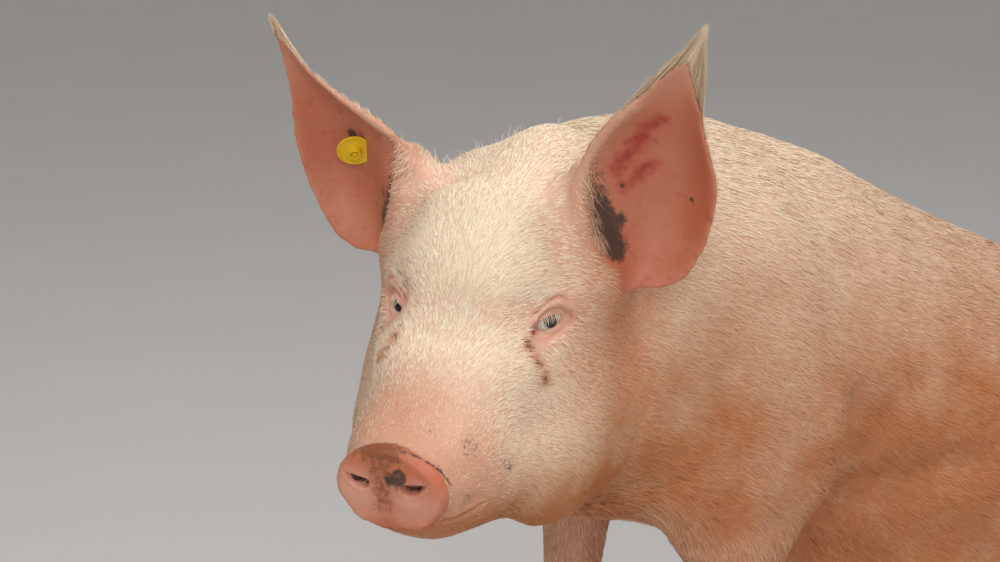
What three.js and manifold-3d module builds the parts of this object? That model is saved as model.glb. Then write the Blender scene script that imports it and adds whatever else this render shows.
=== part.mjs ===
// A white farm pig sitting like a dog, at life size, with its head turned to its own left.
// Millimetres. The pig faces -Y, its left side is +X, up is +Z and it rests on z = 0.
//
// The flesh is one soft form: a signed field in which rounded masses and tapering tubes are
// blended together as muscles are. Each named piece is that one form inside its own region,
// turned into facets on a grid of its own fineness and parted from its neighbours by thin
// cuts. Ears, claws, eyes and the ear tag are made as surfaces of their own.
import * as THREE from "three";
import { mergeVertices } from "three/addons/utils/BufferGeometryUtils.js";
import Module from "manifold-3d";

const wasm = await Module();
wasm.setup();

// ---------------------------------------------------------------- driving dimensions

const GAP = 0.4; // clearance between neighbouring pieces
const BIG = 3200; // side of the blocks that part one piece from the next
const WITHERS = 752; // height of the back over the shoulders
const SEAT = 830; // how far back the rump reaches
const CHEST_HALF = 156; // half width of the chest behind the shoulders
const BELLY_HALF = 196; // half width of the belly, spread by sitting
const FORE_X = 122; // a foreleg's distance from the middle plane
const HIND_X = 196; // a hind foot's distance from the middle plane

// The head has a frame of its own at the middle of the line between the eyes, with x to the
// pig's left, y to its back and z up.
const HEAD_AT = new THREE.Vector3(125, -262, 653);
const HEAD_YAW = 40; // turned to the pig's left
const HEAD_ROLL = 3; // left side lower
const EYE_RADIUS = 12;
const EYE_AT = [51.5, 8, -1];
const EYE_LOOK = [0.74, -0.66, 0.08]; // the way the left eye looks
const ORBIT_HALF = 23; // half width of the hollow round an eye
const ORBIT_OUT = 26; // how far the middle of that hollow lies in front of the eyeball
const DISC_HALF_WIDTH = 43.5; // the flat end of the snout
const DISC_HALF_HEIGHT = 35;
const DISC_DEPTH = 15;
const DISC_AT = [0, -154, -90];
const DISC_TILT = 9; // its face looks this far down

const EAR_THICK = 8;
const EAR_ROOT = [98, 52, 32];
const EAR_SPREAD = { left: 0, right: 8 }; // degrees that each ear leans outwards
const EAR_LENGTH = { left: 1, right: 0.95 }; // the right ear is held a little lower
const TAG_RADIUS = 14.5;
const TAG_AT = { along: 0.41, over: 0.36 }; // its place on the right ear, from root and front rim
const TAIL_HEIGHT = 262; // of its root
const TAIL_ROOT = 20; // radius at its root
const TAIL_TIP = 7; // and at its tip

// Cell sizes of the grids that the flesh is faceted on
const CELL = { head: 21.5, neck: 38, trunk: 54, foreleg: 28, thigh: 38, shank: 26 };

// ---------------------------------------------------------------- frames and blocks

const rad = THREE.MathUtils.degToRad;

const headFrame = new THREE.Matrix4()
  .makeTranslation(HEAD_AT)
  .multiply(new THREE.Matrix4().makeRotationZ(rad(HEAD_YAW)))
  .multiply(new THREE.Matrix4().makeRotationY(rad(HEAD_ROLL)));
const bodyFrame = new THREE.Matrix4();

// Turns a three.js geometry into a solid that can be joined and cut.
function solid(geometry, frame = bodyFrame) {
  const bare = geometry.clone().applyMatrix4(frame);
  bare.deleteAttribute("normal");
  bare.deleteAttribute("uv");
  const merged = mergeVertices(bare, 1e-4);
  const triVerts = new Uint32Array(merged.index.array);
  if (frame.determinant() < 0) triVerts.reverse(); // a mirrored shape keeps its faces outwards
  const vertProperties = merged.attributes.position.array;
  return new wasm.Manifold(new wasm.Mesh({ numProp: 3, vertProperties, triVerts }));
}

// A closed geometry from a list of points and a list of triangles.
function geometryOf(points, triangles) {
  const geometry = new THREE.BufferGeometry();
  geometry.setAttribute("position", new THREE.Float32BufferAttribute(points.flat(), 3));
  geometry.setIndex(triangles.flat());
  return geometry;
}

// The half space behind a plane: all that lies on the side its normal points away from. The
// face is drawn back by half a gap, so two such cuts of the same plane never touch. A cutter
// is grown by a whole gap, so what it leaves stands clear of what fills it.
function behind(point, normal, { frame = bodyFrame, grow = 0 } = {}) {
  const direction = new THREE.Vector3(...normal).normalize();
  const turn = new THREE.Quaternion().setFromUnitVectors(new THREE.Vector3(0, 0, 1), direction);
  const centre = new THREE.Vector3(...point);
  centre.addScaledVector(direction, grow - BIG / 2 - GAP / 2);
  const place = new THREE.Matrix4().compose(centre, turn, new THREE.Vector3(1, 1, 1));
  return solid(new THREE.BoxGeometry(BIG, BIG, BIG), frame.clone().multiply(place));
}

const opposite = (v) => v.map((n) => -n);

// ---------------------------------------------------------------- the language of forms

// Every form is a function of a place that is negative inside and grows outwards.

function softUnion(reach, ...forms) {
  return (x, y, z) =>
    forms
      .map((form) => form(x, y, z))
      .reduce((a, b) => {
        const overlap = Math.max(reach - Math.abs(a - b), 0);
        return Math.min(a, b) - (overlap * overlap) / (4 * reach);
      });
}

// What is left of a form where another has been scooped out of it.
function softCut(reach, form, hollow) {
  return (x, y, z) => {
    const a = form(x, y, z);
    const b = -hollow(x, y, z);
    const overlap = Math.max(reach - Math.abs(a - b), 0);
    return Math.max(a, b) + (overlap * overlap) / (4 * reach);
  };
}

// How far a place is, nearly, from an ellipsoid of the given radii round the origin. A power
// over 2 makes it squarer.
function ellipsoidDistance(place, radii, power = 2) {
  const shares = place.map((n, axis) => Math.abs(n) / radii[axis]);
  const inner = shares.reduce((sum, n) => sum + n ** power, 0) ** (1 / power);
  const slope = Math.hypot(...shares.map((n, axis) => n ** (power - 1) / radii[axis]));
  return slope > 0 ? ((inner - 1) * inner ** (power - 1)) / slope : -Math.min(...radii);
}

// A rounded mass: centre, radii and turns about x, y and z in degrees.
function mass(centre, radii, turns = [0, 0, 0]) {
  const toLocal = new THREE.Matrix4()
    .makeRotationFromEuler(new THREE.Euler(...turns.map(rad)))
    .setPosition(...centre)
    .invert();
  const v = new THREE.Vector3();
  return (x, y, z) => {
    v.set(x, y, z).applyMatrix4(toLocal);
    return ellipsoidDistance([v.x, v.y, v.z], radii);
  };
}

// A tube through stations of [x, y, z, half width, half depth]. The width lies as nearly
// along x as the tube's run allows, and the depth is square to both. The cap is how far the
// ends bulge, as a share of the smaller half, the pear is how much broader the underside of a
// lying tube is than its middle, and a power over 2 makes it squarer.
function tube(stations, { cap = 1, pear = 0, power = 2 } = {}) {
  const centres = new THREE.CatmullRomCurve3(
    stations.map(([x, y, z]) => new THREE.Vector3(x, y, z)),
    false,
    "catmullrom",
  );
  const sizes = new THREE.CatmullRomCurve3(
    stations.map(([, , , width, depth]) => new THREE.Vector3(width, depth, 0)),
    false,
    "catmullrom",
  );
  const count = (stations.length - 1) * 4;
  const marks = [];
  for (let i = 0; i <= count; i++) {
    const at = centres.getPoint(i / count);
    const along = centres.getTangent(i / count);
    marks.push({ at, along, size: sizes.getPoint(i / count) });
  }
  const links = marks.slice(1).map((end, i) => {
    const run = end.at.clone().sub(marks[i].at);
    return { start: marks[i], end, run, length2: run.lengthSq() };
  });
  const offset = new THREE.Vector3();
  const along = new THREE.Vector3();
  const side = new THREE.Vector3();
  const across = new THREE.Vector3();
  return (x, y, z) => {
    let best = Infinity;
    let nearest;
    let part;
    for (const link of links) {
      const { at } = link.start;
      offset.set(x - at.x, y - at.y, z - at.z);
      const t = Math.min(1, Math.max(0, offset.dot(link.run) / link.length2));
      const distance2 = offset.addScaledVector(link.run, -t).lengthSq();
      if (distance2 < best) {
        best = distance2;
        nearest = link;
        part = t;
      }
    }
    const { at } = nearest.start;
    offset.set(x - at.x, y - at.y, z - at.z).addScaledVector(nearest.run, -part);
    const middle = THREE.MathUtils.lerp(nearest.start.size.x, nearest.end.size.x, part);
    const depth = THREE.MathUtils.lerp(nearest.start.size.y, nearest.end.size.y, part);
    along.lerpVectors(nearest.start.along, nearest.end.along, part).normalize();
    side.set(1, 0, 0).addScaledVector(along, -along.x).normalize();
    across.crossVectors(along, side);
    const u = offset.dot(side);
    const v = offset.dot(across);
    const w = offset.dot(along);
    const width = middle * (1 + pear * THREE.MathUtils.clamp(v / depth, -1.2, 1.2));
    return ellipsoidDistance([u, v, w], [width, depth, Math.min(middle, depth) * cap], power);
  };
}

// A station of the trunk or head given by its highest and lowest point in side view.
function section([topY, topZ], [bottomY, bottomZ], halfWidth) {
  const halfDepth = Math.hypot(topY - bottomY, topZ - bottomZ) / 2;
  return [0, (topY + bottomY) / 2, (topZ + bottomZ) / 2, halfWidth, halfDepth];
}

// The same form on both sides of the middle plane.
const paired = (form) => (x, y, z) => form(Math.abs(x), y, z);

// A form drawn in a frame of its own.
function framed(frame, form) {
  const toLocal = frame.clone().invert();
  const v = new THREE.Vector3();
  return (x, y, z) => {
    v.set(x, y, z).applyMatrix4(toLocal);
    return form(v.x, v.y, v.z);
  };
}

// ---------------------------------------------------------------- the pig's flesh

function trunkForm() {
  const barrel = tube(
    [
      section([-150, 715], [-150, 505], 98),
      section([-95, WITHERS - 6], [-85, 446], 126),
      section([0, WITHERS], [-6, 412], 144),
      section([110, 727], [70, 392], CHEST_HALF),
      section([250, 663], [165, 342], CHEST_HALF + 12),
      section([400, 602], [275, 262], 182),
      section([545, 527], [400, 172], 186),
      section([655, 432], [500, 92], 174),
      section([SEAT - 100, 315], [600, 30], 166),
      section([SEAT - 77, 200], [SEAT - 150, -20], 146),
    ],
    { pear: 0.17 },
  );
  const bellyRoll = tube([
    [0, 116, 380, 122, 58],
    [0, 200, 338, 162, 80],
    [0, 300, 284, BELLY_HALF - 10, 104],
    [0, 410, 216, BELLY_HALF - 6, 116],
    [0, 530, 142, 174, 108],
  ]);
  return softUnion(44, barrel, bellyRoll);
}

function shoulderForm() {
  const blade = mass([84, 0, 588], [68, 96, 128], [12, 8, 0]);
  const point = mass([84, -92, 530], [58, 62, 76], [-8, 0, 8]);
  const brisket = mass([0, -78, 492], [84, 62, 58]);
  return softUnion(40, paired(blade), paired(point), brisket);
}

function upperArmForm() {
  const triceps = mass([124, 8, 522], [52, 86, 84], [14, 0, 0]);
  const elbow = mass([126, 4, 454], [44, 54, 54], [-20, 0, 0]);
  return paired(softUnion(40, triceps, elbow));
}

function forelegForm() {
  const leg = tube([
    [FORE_X + 4, -22, 475, 48, 70],
    [FORE_X + 5, -13, 432, 46, 58],
    [FORE_X + 5, -3, 390, 41, 44],
    [FORE_X + 4, -6, 340, 34, 36],
    [FORE_X + 3, -10, 290, 30, 31],
    [FORE_X + 2, -12, 235, 29, 31],
    [FORE_X + 1, -14, 195, 33, 36],
    [FORE_X, -6, 145, 26, 28],
    [FORE_X, -4, 100, 26, 28],
    [FORE_X, -8, 72, 31, 32],
    [FORE_X, -22, 38, 31, 30],
    [FORE_X, -30, 16, 30, 30],
  ]);
  return paired(leg);
}

function hindForm() {
  const thigh = mass([132, 556, 272], [88, 176, 150], [-20, 0, -8]);
  const stifle = mass([170, 416, 252], [54, 84, 92], [-20, 0, 0]);
  const gaskin = tube([
    [182, 430, 196, 50, 74],
    [190, 516, 132, 46, 60],
    [HIND_X, 592, 82, 34, 44],
    [HIND_X, 624, 52, 30, 38],
  ]);
  const foot = tube([
    [HIND_X, 628, 40, 30, 38],
    [HIND_X, 590, 28, 28, 32],
    [HIND_X - 2, 530, 24, 26, 28],
    [HIND_X - 4, 470, 24, 27, 28],
    [HIND_X - 6, 436, 25, 30, 29],
    [HIND_X - 8, 404, 20, 30, 25],
  ]);
  const haunch = paired(softUnion(40, thigh, stifle, gaskin));
  return { haunch, foot: paired(foot) };
}

function skullForm() {
  const profile = tube(
    [
      section([-148, -60], [-142, -118], 34),
      section([-126, -47], [-118, -130], 40),
      section([-92, -29], [-88, -142], 50),
      section([-50, -6], [-50, -146], 58),
      section([-8, 20], [-20, -150], 64),
      section([36, 74], [14, -158], 74),
      section([74, 113], [52, -164], 82),
      section([112, 120], [96, -156], 88),
    ],
    { cap: 0.9, power: 2.3 },
  );
  const cheek = mass([57, 42, -82], [44, 66, 60], [0, 0, -12]);
  const jowl = mass([56, 34, -116], [46, 76, 56], [4, 0, 0]);
  const brow = mass([46, 20, 16], [27, 30, 22], [16, 0, 0]);
  const cheekbone = mass([42, -22, -36], [25, 44, 26], [-20, 0, -12]);
  const lip = mass([32, -98, -90], [22, 44, 30], [0, 0, -12]);
  const jaw = mass([36, -46, -112], [30, 64, 31], [0, 0, -14]);
  const chin = mass([0, -94, -126], [30, 36, 20], [-8, 0, 0]);
  const pairs = [cheek, jowl, brow, cheekbone, lip, jaw].map(paired);
  return softCut(14, softUnion(24, profile, ...pairs, chin), orbitForm());
}

// The hollow in which an eye lies, out from the front of the eyeball.
function orbitForm() {
  const look = new THREE.Vector3(...EYE_LOOK).normalize();
  const centre = new THREE.Vector3(...EYE_AT).addScaledVector(look, EYE_RADIUS + ORBIT_OUT);
  return paired(mass(centre.toArray(), [ORBIT_HALF, ORBIT_HALF, ORBIT_HALF * 0.8]));
}

// The muscular root from which an ear grows, leaning out with its ear.
function earRootForm(side) {
  const root = tube([
    [62, 60, 26, 42, 38],
    [64, 56, 60, 35, 32],
    [71, 48, 94, 22, 22],
    [83, 42, 120, 10, 12],
  ]);
  return framed(earFrame(side), root);
}

function neckForm() {
  const nape = new THREE.Vector3(0, 96, -22).applyMatrix4(headFrame);
  const throat = new THREE.Vector3(8, 84, -84).applyMatrix4(headFrame);
  const core = tube([
    [0, -30, 588, 134, 162],
    [nape.x / 2, (nape.y - 50) / 2, 613, 122, 156],
    [nape.x, nape.y, nape.z + 12, 98, 138],
  ]);
  const dewlap = tube([
    [0, -50, 540, 98, 84],
    [throat.x / 2 + 10, throat.y / 2 - 36, 548, 96, 78],
    [throat.x, throat.y, throat.z, 90, 74],
  ]);
  return softUnion(60, core, dewlap);
}

// An ear leans out about its root.
function earFrame(side) {
  const mirror = new THREE.Matrix4().makeScale(side === "left" ? 1 : -1, 1, 1);
  const toRoot = new THREE.Matrix4().makeTranslation(...EAR_ROOT);
  const lean = new THREE.Matrix4().makeRotationY(rad(EAR_SPREAD[side]));
  const length = new THREE.Matrix4().makeScale(...Array(3).fill(EAR_LENGTH[side]));
  const back = toRoot.clone().invert();
  return mirror.multiply(toRoot).multiply(lean).multiply(length).multiply(back);
}

const headForm = framed(
  headFrame,
  softUnion(16, skullForm(), earRootForm("left"), earRootForm("right")),
);
const torsoForm = softUnion(56, trunkForm(), shoulderForm());
const frontForm = softUnion(34, softUnion(48, torsoForm, neckForm()), headForm);
const armForm = softUnion(26, upperArmForm(), forelegForm());
const { haunch, foot } = hindForm();
const upperForm = softUnion(22, softUnion(56, frontForm, haunch), armForm);
const bodyForm = softUnion(22, upperForm, foot);

// The rump's surface in the middle plane at the tail's height, found from behind.
function rumpBack() {
  let y = SEAT + 150;
  while (upperForm(0, y, TAIL_HEIGHT) > 0) y -= 1;
  return y;
}

// ---------------------------------------------------------------- facets from a form

// Facets the part of a form that lies in a box, on a grid of square cells, in a frame of its
// own. Each cell that the surface crosses gets one corner, drawn onto the surface, and corners
// of cells round a crossed grid line make a face. The grid's outer layer counts as outside, so
// the surface is closed.
function facet(form, low, high, cell, frame = bodyFrame) {
  const counts = low.map((n, i) => Math.ceil((high[i] - n) / cell) + 1);
  const [nx, ny, nz] = counts;
  const strides = [1, nx, nx * ny];
  const p = new THREE.Vector3();
  const valueAt = (x, y, z) => {
    p.set(x, y, z).applyMatrix4(frame);
    return form(p.x, p.y, p.z);
  };
  const values = new Float64Array(nx * ny * nz);
  for (let k = 0; k < nz; k++) {
    for (let j = 0; j < ny; j++) {
      for (let i = 0; i < nx; i++) {
        const place = [i, j, k].map((n, axis) => low[axis] + n * cell);
        const outer = [i, j, k].some((n, axis) => n === 0 || n === counts[axis] - 1);
        const value = valueAt(...place);
        values[i + j * strides[1] + k * strides[2]] = outer ? Math.max(value, cell / 3) : value;
      }
    }
  }
  const points = [];
  const cornerOf = new Map();
  for (let k = 0; k < nz - 1; k++) {
    for (let j = 0; j < ny - 1; j++) {
      for (let i = 0; i < nx - 1; i++) {
        const sum = crossing([i, j, k], strides, values);
        if (!sum) continue;
        const place = sum.map((n, axis) => low[axis] + n * cell);
        const corner = [i, j, k].map((n, axis) => low[axis] + n * cell);
        cornerOf.set(i + j * strides[1] + k * strides[2], points.length);
        points.push(settle(valueAt, place, corner, cell));
      }
    }
  }
  const triangles = faces(counts, strides, values, cornerOf, points);
  return geometryOf(points, triangles);
}

// The middle of the places where the surface crosses a cell's twelve edges, in cells.
function crossing(cell, strides, values) {
  const sum = [0, 0, 0];
  let found = 0;
  for (let axis = 0; axis < 3; axis++) {
    const b = (axis + 1) % 3;
    const c = (axis + 2) % 3;
    for (let corner = 0; corner < 4; corner++) {
      const start = [...cell];
      start[b] += corner & 1;
      start[c] += corner >> 1;
      const index = start[0] + start[1] * strides[1] + start[2] * strides[2];
      const from = values[index];
      const to = values[index + strides[axis]];
      if (from < 0 === to < 0) continue;
      start[axis] += from / (from - to);
      start.forEach((n, i) => (sum[i] += n));
      found++;
    }
  }
  return found ? sum.map((n) => n / found) : null;
}

// Draws a corner onto the surface without letting it leave its cell, unless it belongs to the
// box's closing wall.
function settle(valueAt, place, corner, cell) {
  const step = 0.5;
  const within = (n, axis) =>
    THREE.MathUtils.clamp(n, corner[axis] + 0.04 * cell, corner[axis] + 0.96 * cell);
  const [...spot] = place;
  for (let round = 0; round < 4; round++) {
    const value = valueAt(...spot);
    if (Math.abs(value) > cell * 0.6) return place;
    const slope = spot.map((_, axis) => {
      const ahead = [...spot];
      const astern = [...spot];
      ahead[axis] += step;
      astern[axis] -= step;
      return (valueAt(...ahead) - valueAt(...astern)) / (2 * step);
    });
    const steepness = Math.max(0.2, slope[0] ** 2 + slope[1] ** 2 + slope[2] ** 2);
    slope.forEach((n, axis) => (spot[axis] = within(spot[axis] - (value * n) / steepness, axis)));
  }
  return spot;
}

// Two triangles round every grid line that the surface crosses, split along the shorter way.
function faces(counts, strides, values, cornerOf, points) {
  const triangles = [];
  const apart = (a, b) => Math.hypot(...points[a].map((n, i) => n - points[b][i]));
  for (let axis = 0; axis < 3; axis++) {
    const b = (axis + 1) % 3;
    const c = (axis + 2) % 3;
    const at = [0, 0, 0];
    for (at[axis] = 0; at[axis] < counts[axis] - 1; at[axis]++) {
      for (at[b] = 1; at[b] < counts[b] - 1; at[b]++) {
        for (at[c] = 1; at[c] < counts[c] - 1; at[c]++) {
          const index = at[0] + at[1] * strides[1] + at[2] * strides[2];
          const inside = values[index] < 0;
          if (inside === values[index + strides[axis]] < 0) continue;
          const ring = [-strides[b] - strides[c], -strides[c], 0, -strides[b]];
          const quad = ring.map((shift) => cornerOf.get(index + shift));
          if (!inside) quad.reverse();
          const [q0, q1, q2, q3] = quad;
          if (apart(q0, q2) <= apart(q1, q3)) triangles.push([q0, q1, q2], [q0, q2, q3]);
          else triangles.push([q0, q1, q3], [q1, q2, q3]);
        }
      }
    }
  }
  return triangles;
}

// ---------------------------------------------------------------- surfaces of their own

// A closed loft through rings of points, with both ends capped by a fan about their middle.
function loft(rings) {
  const around = rings[0].length;
  const points = rings.flat();
  const triangles = [];
  for (let r = 0; r < rings.length - 1; r++) {
    for (let i = 0; i < around; i++) {
      const a = r * around + i;
      const b = r * around + ((i + 1) % around);
      triangles.push([a, b, b + around], [a, b + around, a + around]);
    }
  }
  [0, rings.length - 1].forEach((r) => {
    const hub = points.length;
    points.push([0, 1, 2].map((axis) => rings[r].reduce((s, q) => s + q[axis], 0) / around));
    for (let i = 0; i < around; i++) {
      const a = r * around + i;
      const b = r * around + ((i + 1) % around);
      triangles.push(r ? [a, b, hub] : [b, a, hub]);
    }
  });
  return geometryOf(points, triangles);
}

// The tail leaves the rump, drops and bends once to the left, tapering to a blunt tip.
function tailLoft(rump) {
  const around = 8;
  const along = 13;
  const line = new THREE.CatmullRomCurve3([
    new THREE.Vector3(0, rump - 30, TAIL_HEIGHT + 6),
    new THREE.Vector3(2, rump + 6, TAIL_HEIGHT),
    new THREE.Vector3(10, rump + 22, TAIL_HEIGHT - 26),
    new THREE.Vector3(28, rump + 27, TAIL_HEIGHT - 56),
    new THREE.Vector3(50, rump + 26, TAIL_HEIGHT - 72),
    new THREE.Vector3(68, rump + 24, TAIL_HEIGHT - 92),
    new THREE.Vector3(70, rump + 24, TAIL_HEIGHT - 124),
  ]);
  const { normals, binormals } = line.computeFrenetFrames(along);
  const rings = normals.map((normal, r) => {
    const part = r / along;
    const radius = TAIL_TIP + (TAIL_ROOT - TAIL_TIP) * (1 - part) ** 2;
    const size = r === along ? radius * 0.6 : radius;
    const centre = line.getPointAt(part);
    return Array.from({ length: around }, (_, i) => {
      const angle = (2 * Math.PI * i) / around;
      const spot = centre.clone().addScaledVector(normal, size * Math.cos(angle));
      return spot.addScaledVector(binormals[r], size * Math.sin(angle)).toArray();
    });
  });
  return loft(rings);
}

// The flat end of the snout: an oval plate with a rounded rim, broadest in its middle.
function discRings() {
  const around = 18;
  const layers = [
    [-DISC_DEPTH, 0.9],
    [-DISC_DEPTH * 0.4, 1],
    [-DISC_DEPTH * 0.12, 0.96],
    [0, 0.84],
  ];
  return layers.map(([back, share]) =>
    Array.from({ length: around }, (_, i) => {
      const angle = (2 * Math.PI * i) / around;
      const width = DISC_HALF_WIDTH * share * Math.cos(angle);
      const height = DISC_HALF_HEIGHT * share * Math.sin(angle);
      return [width, -back, height];
    }),
  );
}

const discFrame = headFrame
  .clone()
  .multiply(new THREE.Matrix4().makeTranslation(...DISC_AT))
  .multiply(new THREE.Matrix4().makeRotationX(rad(DISC_TILT)));

function snoutDisc() {
  const nostril = (side) => {
    const hole = new THREE.CylinderGeometry(3.5, 6.5, 22, 12).scale(1.25, 1, 0.9);
    const place = new THREE.Matrix4()
      .makeTranslation(side * 16, 3, 1)
      .multiply(new THREE.Matrix4().makeRotationZ(rad(-14 * side)));
    return solid(hole, discFrame.clone().multiply(place));
  };
  const plate = solid(loft(discRings()), discFrame);
  return plate.subtract(nostril(1)).subtract(nostril(-1));
}

// An ear is a bowed leaf between its front rim and its rear rim, hollowed towards its back.
const EAR_FRONT = [
  [94, 34, 24],
  [84, 30, 62],
  [82, 27, 100],
  [92, 25, 136],
  [113, 22, 167],
  [138, 17, 196],
  [160, 11, 231],
];
const EAR_BACK = [
  [100, 62, 22],
  [112, 76, 56],
  [126, 80, 92],
  [136, 68, 130],
  [145, 50, 162],
  [152, 30, 194],
  [160, 12, 231],
];
const EAR_REAR = [
  [114, 60, 18],
  [146, 66, 26],
  [165, 60, 66],
  [172, 50, 112],
  [168, 40, 152],
  [162, 26, 192],
  [161, 12, 231],
];

const [earFront, earBack, earRear] = [EAR_FRONT, EAR_BACK, EAR_REAR].map((rim) => {
  const points = rim.map((q) => new THREE.Vector3(...q));
  return new THREE.CatmullRomCurve3(points, false, "catmullrom");
});

// A place on the ear's middle surface: u runs from root to tip, v from front rim to rear rim.
function earMiddle(u, v) {
  const sheet = earFront.getPoint(u).multiplyScalar((1 - v) * (1 - 2 * v));
  sheet.addScaledVector(earBack.getPoint(u), 4 * v * (1 - v));
  return sheet.addScaledVector(earRear.getPoint(u), v * (2 * v - 1));
}

// The way the ear's hollow face looks there.
function earOutward(u, v) {
  const e = 0.01;
  const du = earMiddle(Math.min(1 - e, u) + e, v).sub(earMiddle(Math.max(e, u) - e, v));
  const dv = earMiddle(u, Math.min(1 - e, v) + e).sub(earMiddle(u, Math.max(e, v) - e));
  return dv.cross(du).normalize();
}

// Half the ear's thickness, least at its rims and tip.
function earHalf(u, v) {
  return (EAR_THICK / 2) * (1 - 0.4 * Math.abs(2 * v - 1) ** 3) * (1 - 0.45 * u * u);
}

function earLeaf(side) {
  const along = 10;
  const over = 6;
  const end = 0.97; // the very tip is left blunt
  const rings = [];
  for (let i = 0; i <= along; i++) {
    const u = (i / along) * end;
    const hollow = [];
    const back = [];
    for (let j = 0; j <= over; j++) {
      const v = j / over;
      const here = earMiddle(u, v);
      const out = earOutward(u, v).multiplyScalar(earHalf(u, v));
      hollow.push(here.clone().add(out).toArray());
      back.push(here.clone().sub(out).toArray());
    }
    rings.push([...hollow, ...back.reverse()]);
  }
  return solid(loft(rings), headFrame.clone().multiply(earFrame(side)));
}

// The tag's frame: z looks out of the right ear's hollow, from its middle surface.
function tagFrame() {
  const { along, over } = TAG_AT;
  const out = earOutward(along, over);
  const turn = new THREE.Quaternion().setFromUnitVectors(new THREE.Vector3(0, 0, 1), out);
  const place = new THREE.Matrix4().compose(
    earMiddle(along, over),
    turn,
    new THREE.Vector3(1, 1, 1),
  );
  return headFrame.clone().multiply(earFrame("right")).multiply(place);
}

// A piece turned about the tag's axis, from a profile of [radius, height].
function turned(profile) {
  const points = profile.map(([r, h]) => new THREE.Vector2(r, h));
  return new THREE.LatheGeometry(points, TAG_AROUND).rotateX(Math.PI / 2);
}

// ---------------------------------------------------------------- ear tag

const TAG_AROUND = 14;
const TAG_PIN = 2.6; // radius of the pin through the ear
const TAG_LIFT = 8; // the plate's height over the ear's middle surface
const TAG_STUD = 5.2; // how far behind that surface the stud begins

// The plate in the ear's hollow, dished, with a stepped boss and the pin behind it.
function tagButton() {
  const [rim, lift] = [TAG_RADIUS, TAG_LIFT];
  return turned([
    [0, -TAG_STUD - 1.5],
    [TAG_PIN, -TAG_STUD - 1.5],
    [TAG_PIN, lift],
    [rim - 1, lift + 0.8],
    [rim, lift + 1.4],
    [rim, lift + 2.6],
    [rim - 1.6, lift + 2.8],
    [7, lift + 1.9],
    [6.2, lift + 4.2],
    [2.2, lift + 5.8],
    [0, lift + 4.6],
  ]);
}

// The round stud on the back of the ear, with a socket for the end of the pin.
function tagStud() {
  const near = -TAG_STUD;
  const socket = TAG_PIN + GAP;
  return turned([
    [socket, near],
    [socket, near - 1.5 - GAP],
    [0, near - 1.5 - GAP],
    [0, near - 5.4],
    [3.2, near - 5],
    [4.6, near - 2.6],
    [9.2, near - 2],
    [10, near - 0.8],
    [9.5, near],
    [socket, near],
  ]);
}

// ---------------------------------------------------------------- the pieces

const materials = {
  skin: { color: 0xe6bfa4, roughness: 0.62 },
  bare: { color: 0xd98d7f, roughness: 0.45 },
  horn: { color: 0x8f7a62, roughness: 0.5 },
  eye: { color: 0x1a1310, roughness: 0.08 },
  tag: { color: 0xe3b21c, roughness: 0.4 },
};

const pig = new THREE.Group();

function addPiece(name, shape, finish) {
  const { vertProperties, triVerts, numProp } = whole(shape).getMesh();
  const geometry = new THREE.BufferGeometry();
  const buffer = new THREE.InterleavedBuffer(new Float32Array(vertProperties), numProp);
  geometry.setAttribute("position", new THREE.InterleavedBufferAttribute(buffer, 3, 0));
  geometry.setIndex(Array.from(triVerts));
  const plain = geometry.toNonIndexed();
  plain.computeVertexNormals();
  const material = new THREE.MeshStandardMaterial({ ...materials[finish], metalness: 0 });
  const mesh = new THREE.Mesh(plain, material);
  mesh.name = name;
  pig.add(mesh);
}

const SIDES = { left: 1, right: -1 };

// Planes that part the flesh: a point, and the direction in which the rear or lower piece lies
const NECK_CUT = [[0, -96, 600], [-0.28, 0.96, 0]];
const HEAD_CUT = [[0, 92, 0], [0, 0.97, -0.24]];
const DISC_CUT = [[0, DISC_AT[1] + DISC_DEPTH, DISC_AT[2]], [0, -0.988, -0.156]];
const ELBOW_CUT = [[0, -10, 430], [0, -0.12, -1]];
const FLANK_CUT = [[0, 352, 240], [0, 0.94, -0.34]];
const HOCK_CUT = [[0, 500, 110], [0, 0.1, -1]];
const FOOT_CUT = [[0, -28, 33], [0, -0.2, -1]];
const HIND_FOOT_CUT = [[0, 408, 26], [0, -0.8, -0.6]];

const floorCut = behind([0, 0, -GAP / 2], [0, 0, -1]);

// The pieces on either side of a plane.
const before = ([point, normal], frame, grow) => behind(point, normal, { frame, grow });
const beyond = ([point, normal], frame, grow) => behind(point, opposite(normal), { frame, grow });

// The half space that lies out from an upright plane beside the trunk.
const outwards = (side, from, grow) => behind([side * from, 0, 0], [-side, 0, 0], { grow });

function forelegRegion(side, grow = 0) {
  return beyond(ELBOW_CUT, bodyFrame, grow)
    .intersect(outwards(side, 64, grow))
    .intersect(behind([0, 60, 430], [0, 0.94, 0.34], { grow }));
}

function thighRegion(side, grow = 0) {
  return beyond(FLANK_CUT, bodyFrame, grow)
    .intersect(outwards(side, 122, grow))
    .intersect(behind([0, 0, 410], [0, 0.2, 1], { grow }))
    .intersect(behind([0, 716, 0], [0, 1, 0.2], { grow }));
}

function shankRegion(side, grow = 0) {
  return beyond(HOCK_CUT, bodyFrame, grow)
    .intersect(outwards(side, 160, grow))
    .intersect(behind([0, 716, 0], [0, 1, 0.2], { grow }));
}

// A cut may leave a crumb behind, which goes: a piece is its largest body.
const whole = (shape) => shape.decompose().sort((a, b) => b.volume() - a.volume())[0];

const headFlesh = facet(bodyForm, [-160, -176, -230], [160, 150, 190], CELL.head, headFrame);
const trunkFlesh = facet(upperForm, [-290, -260, -60], [290, 880, 830], CELL.trunk);

// What is left of a piece that grows out of faceted flesh: the flesh and the same flesh moved
// a little in the way the piece grows are both taken off it, which leaves a thin clearance.
function rooted(shape, flesh, frame, growth) {
  const moved = frame.clone().multiply(new THREE.Matrix4().makeTranslation(...growth));
  return shape.subtract(solid(flesh, frame)).subtract(solid(flesh, moved));
}

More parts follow.
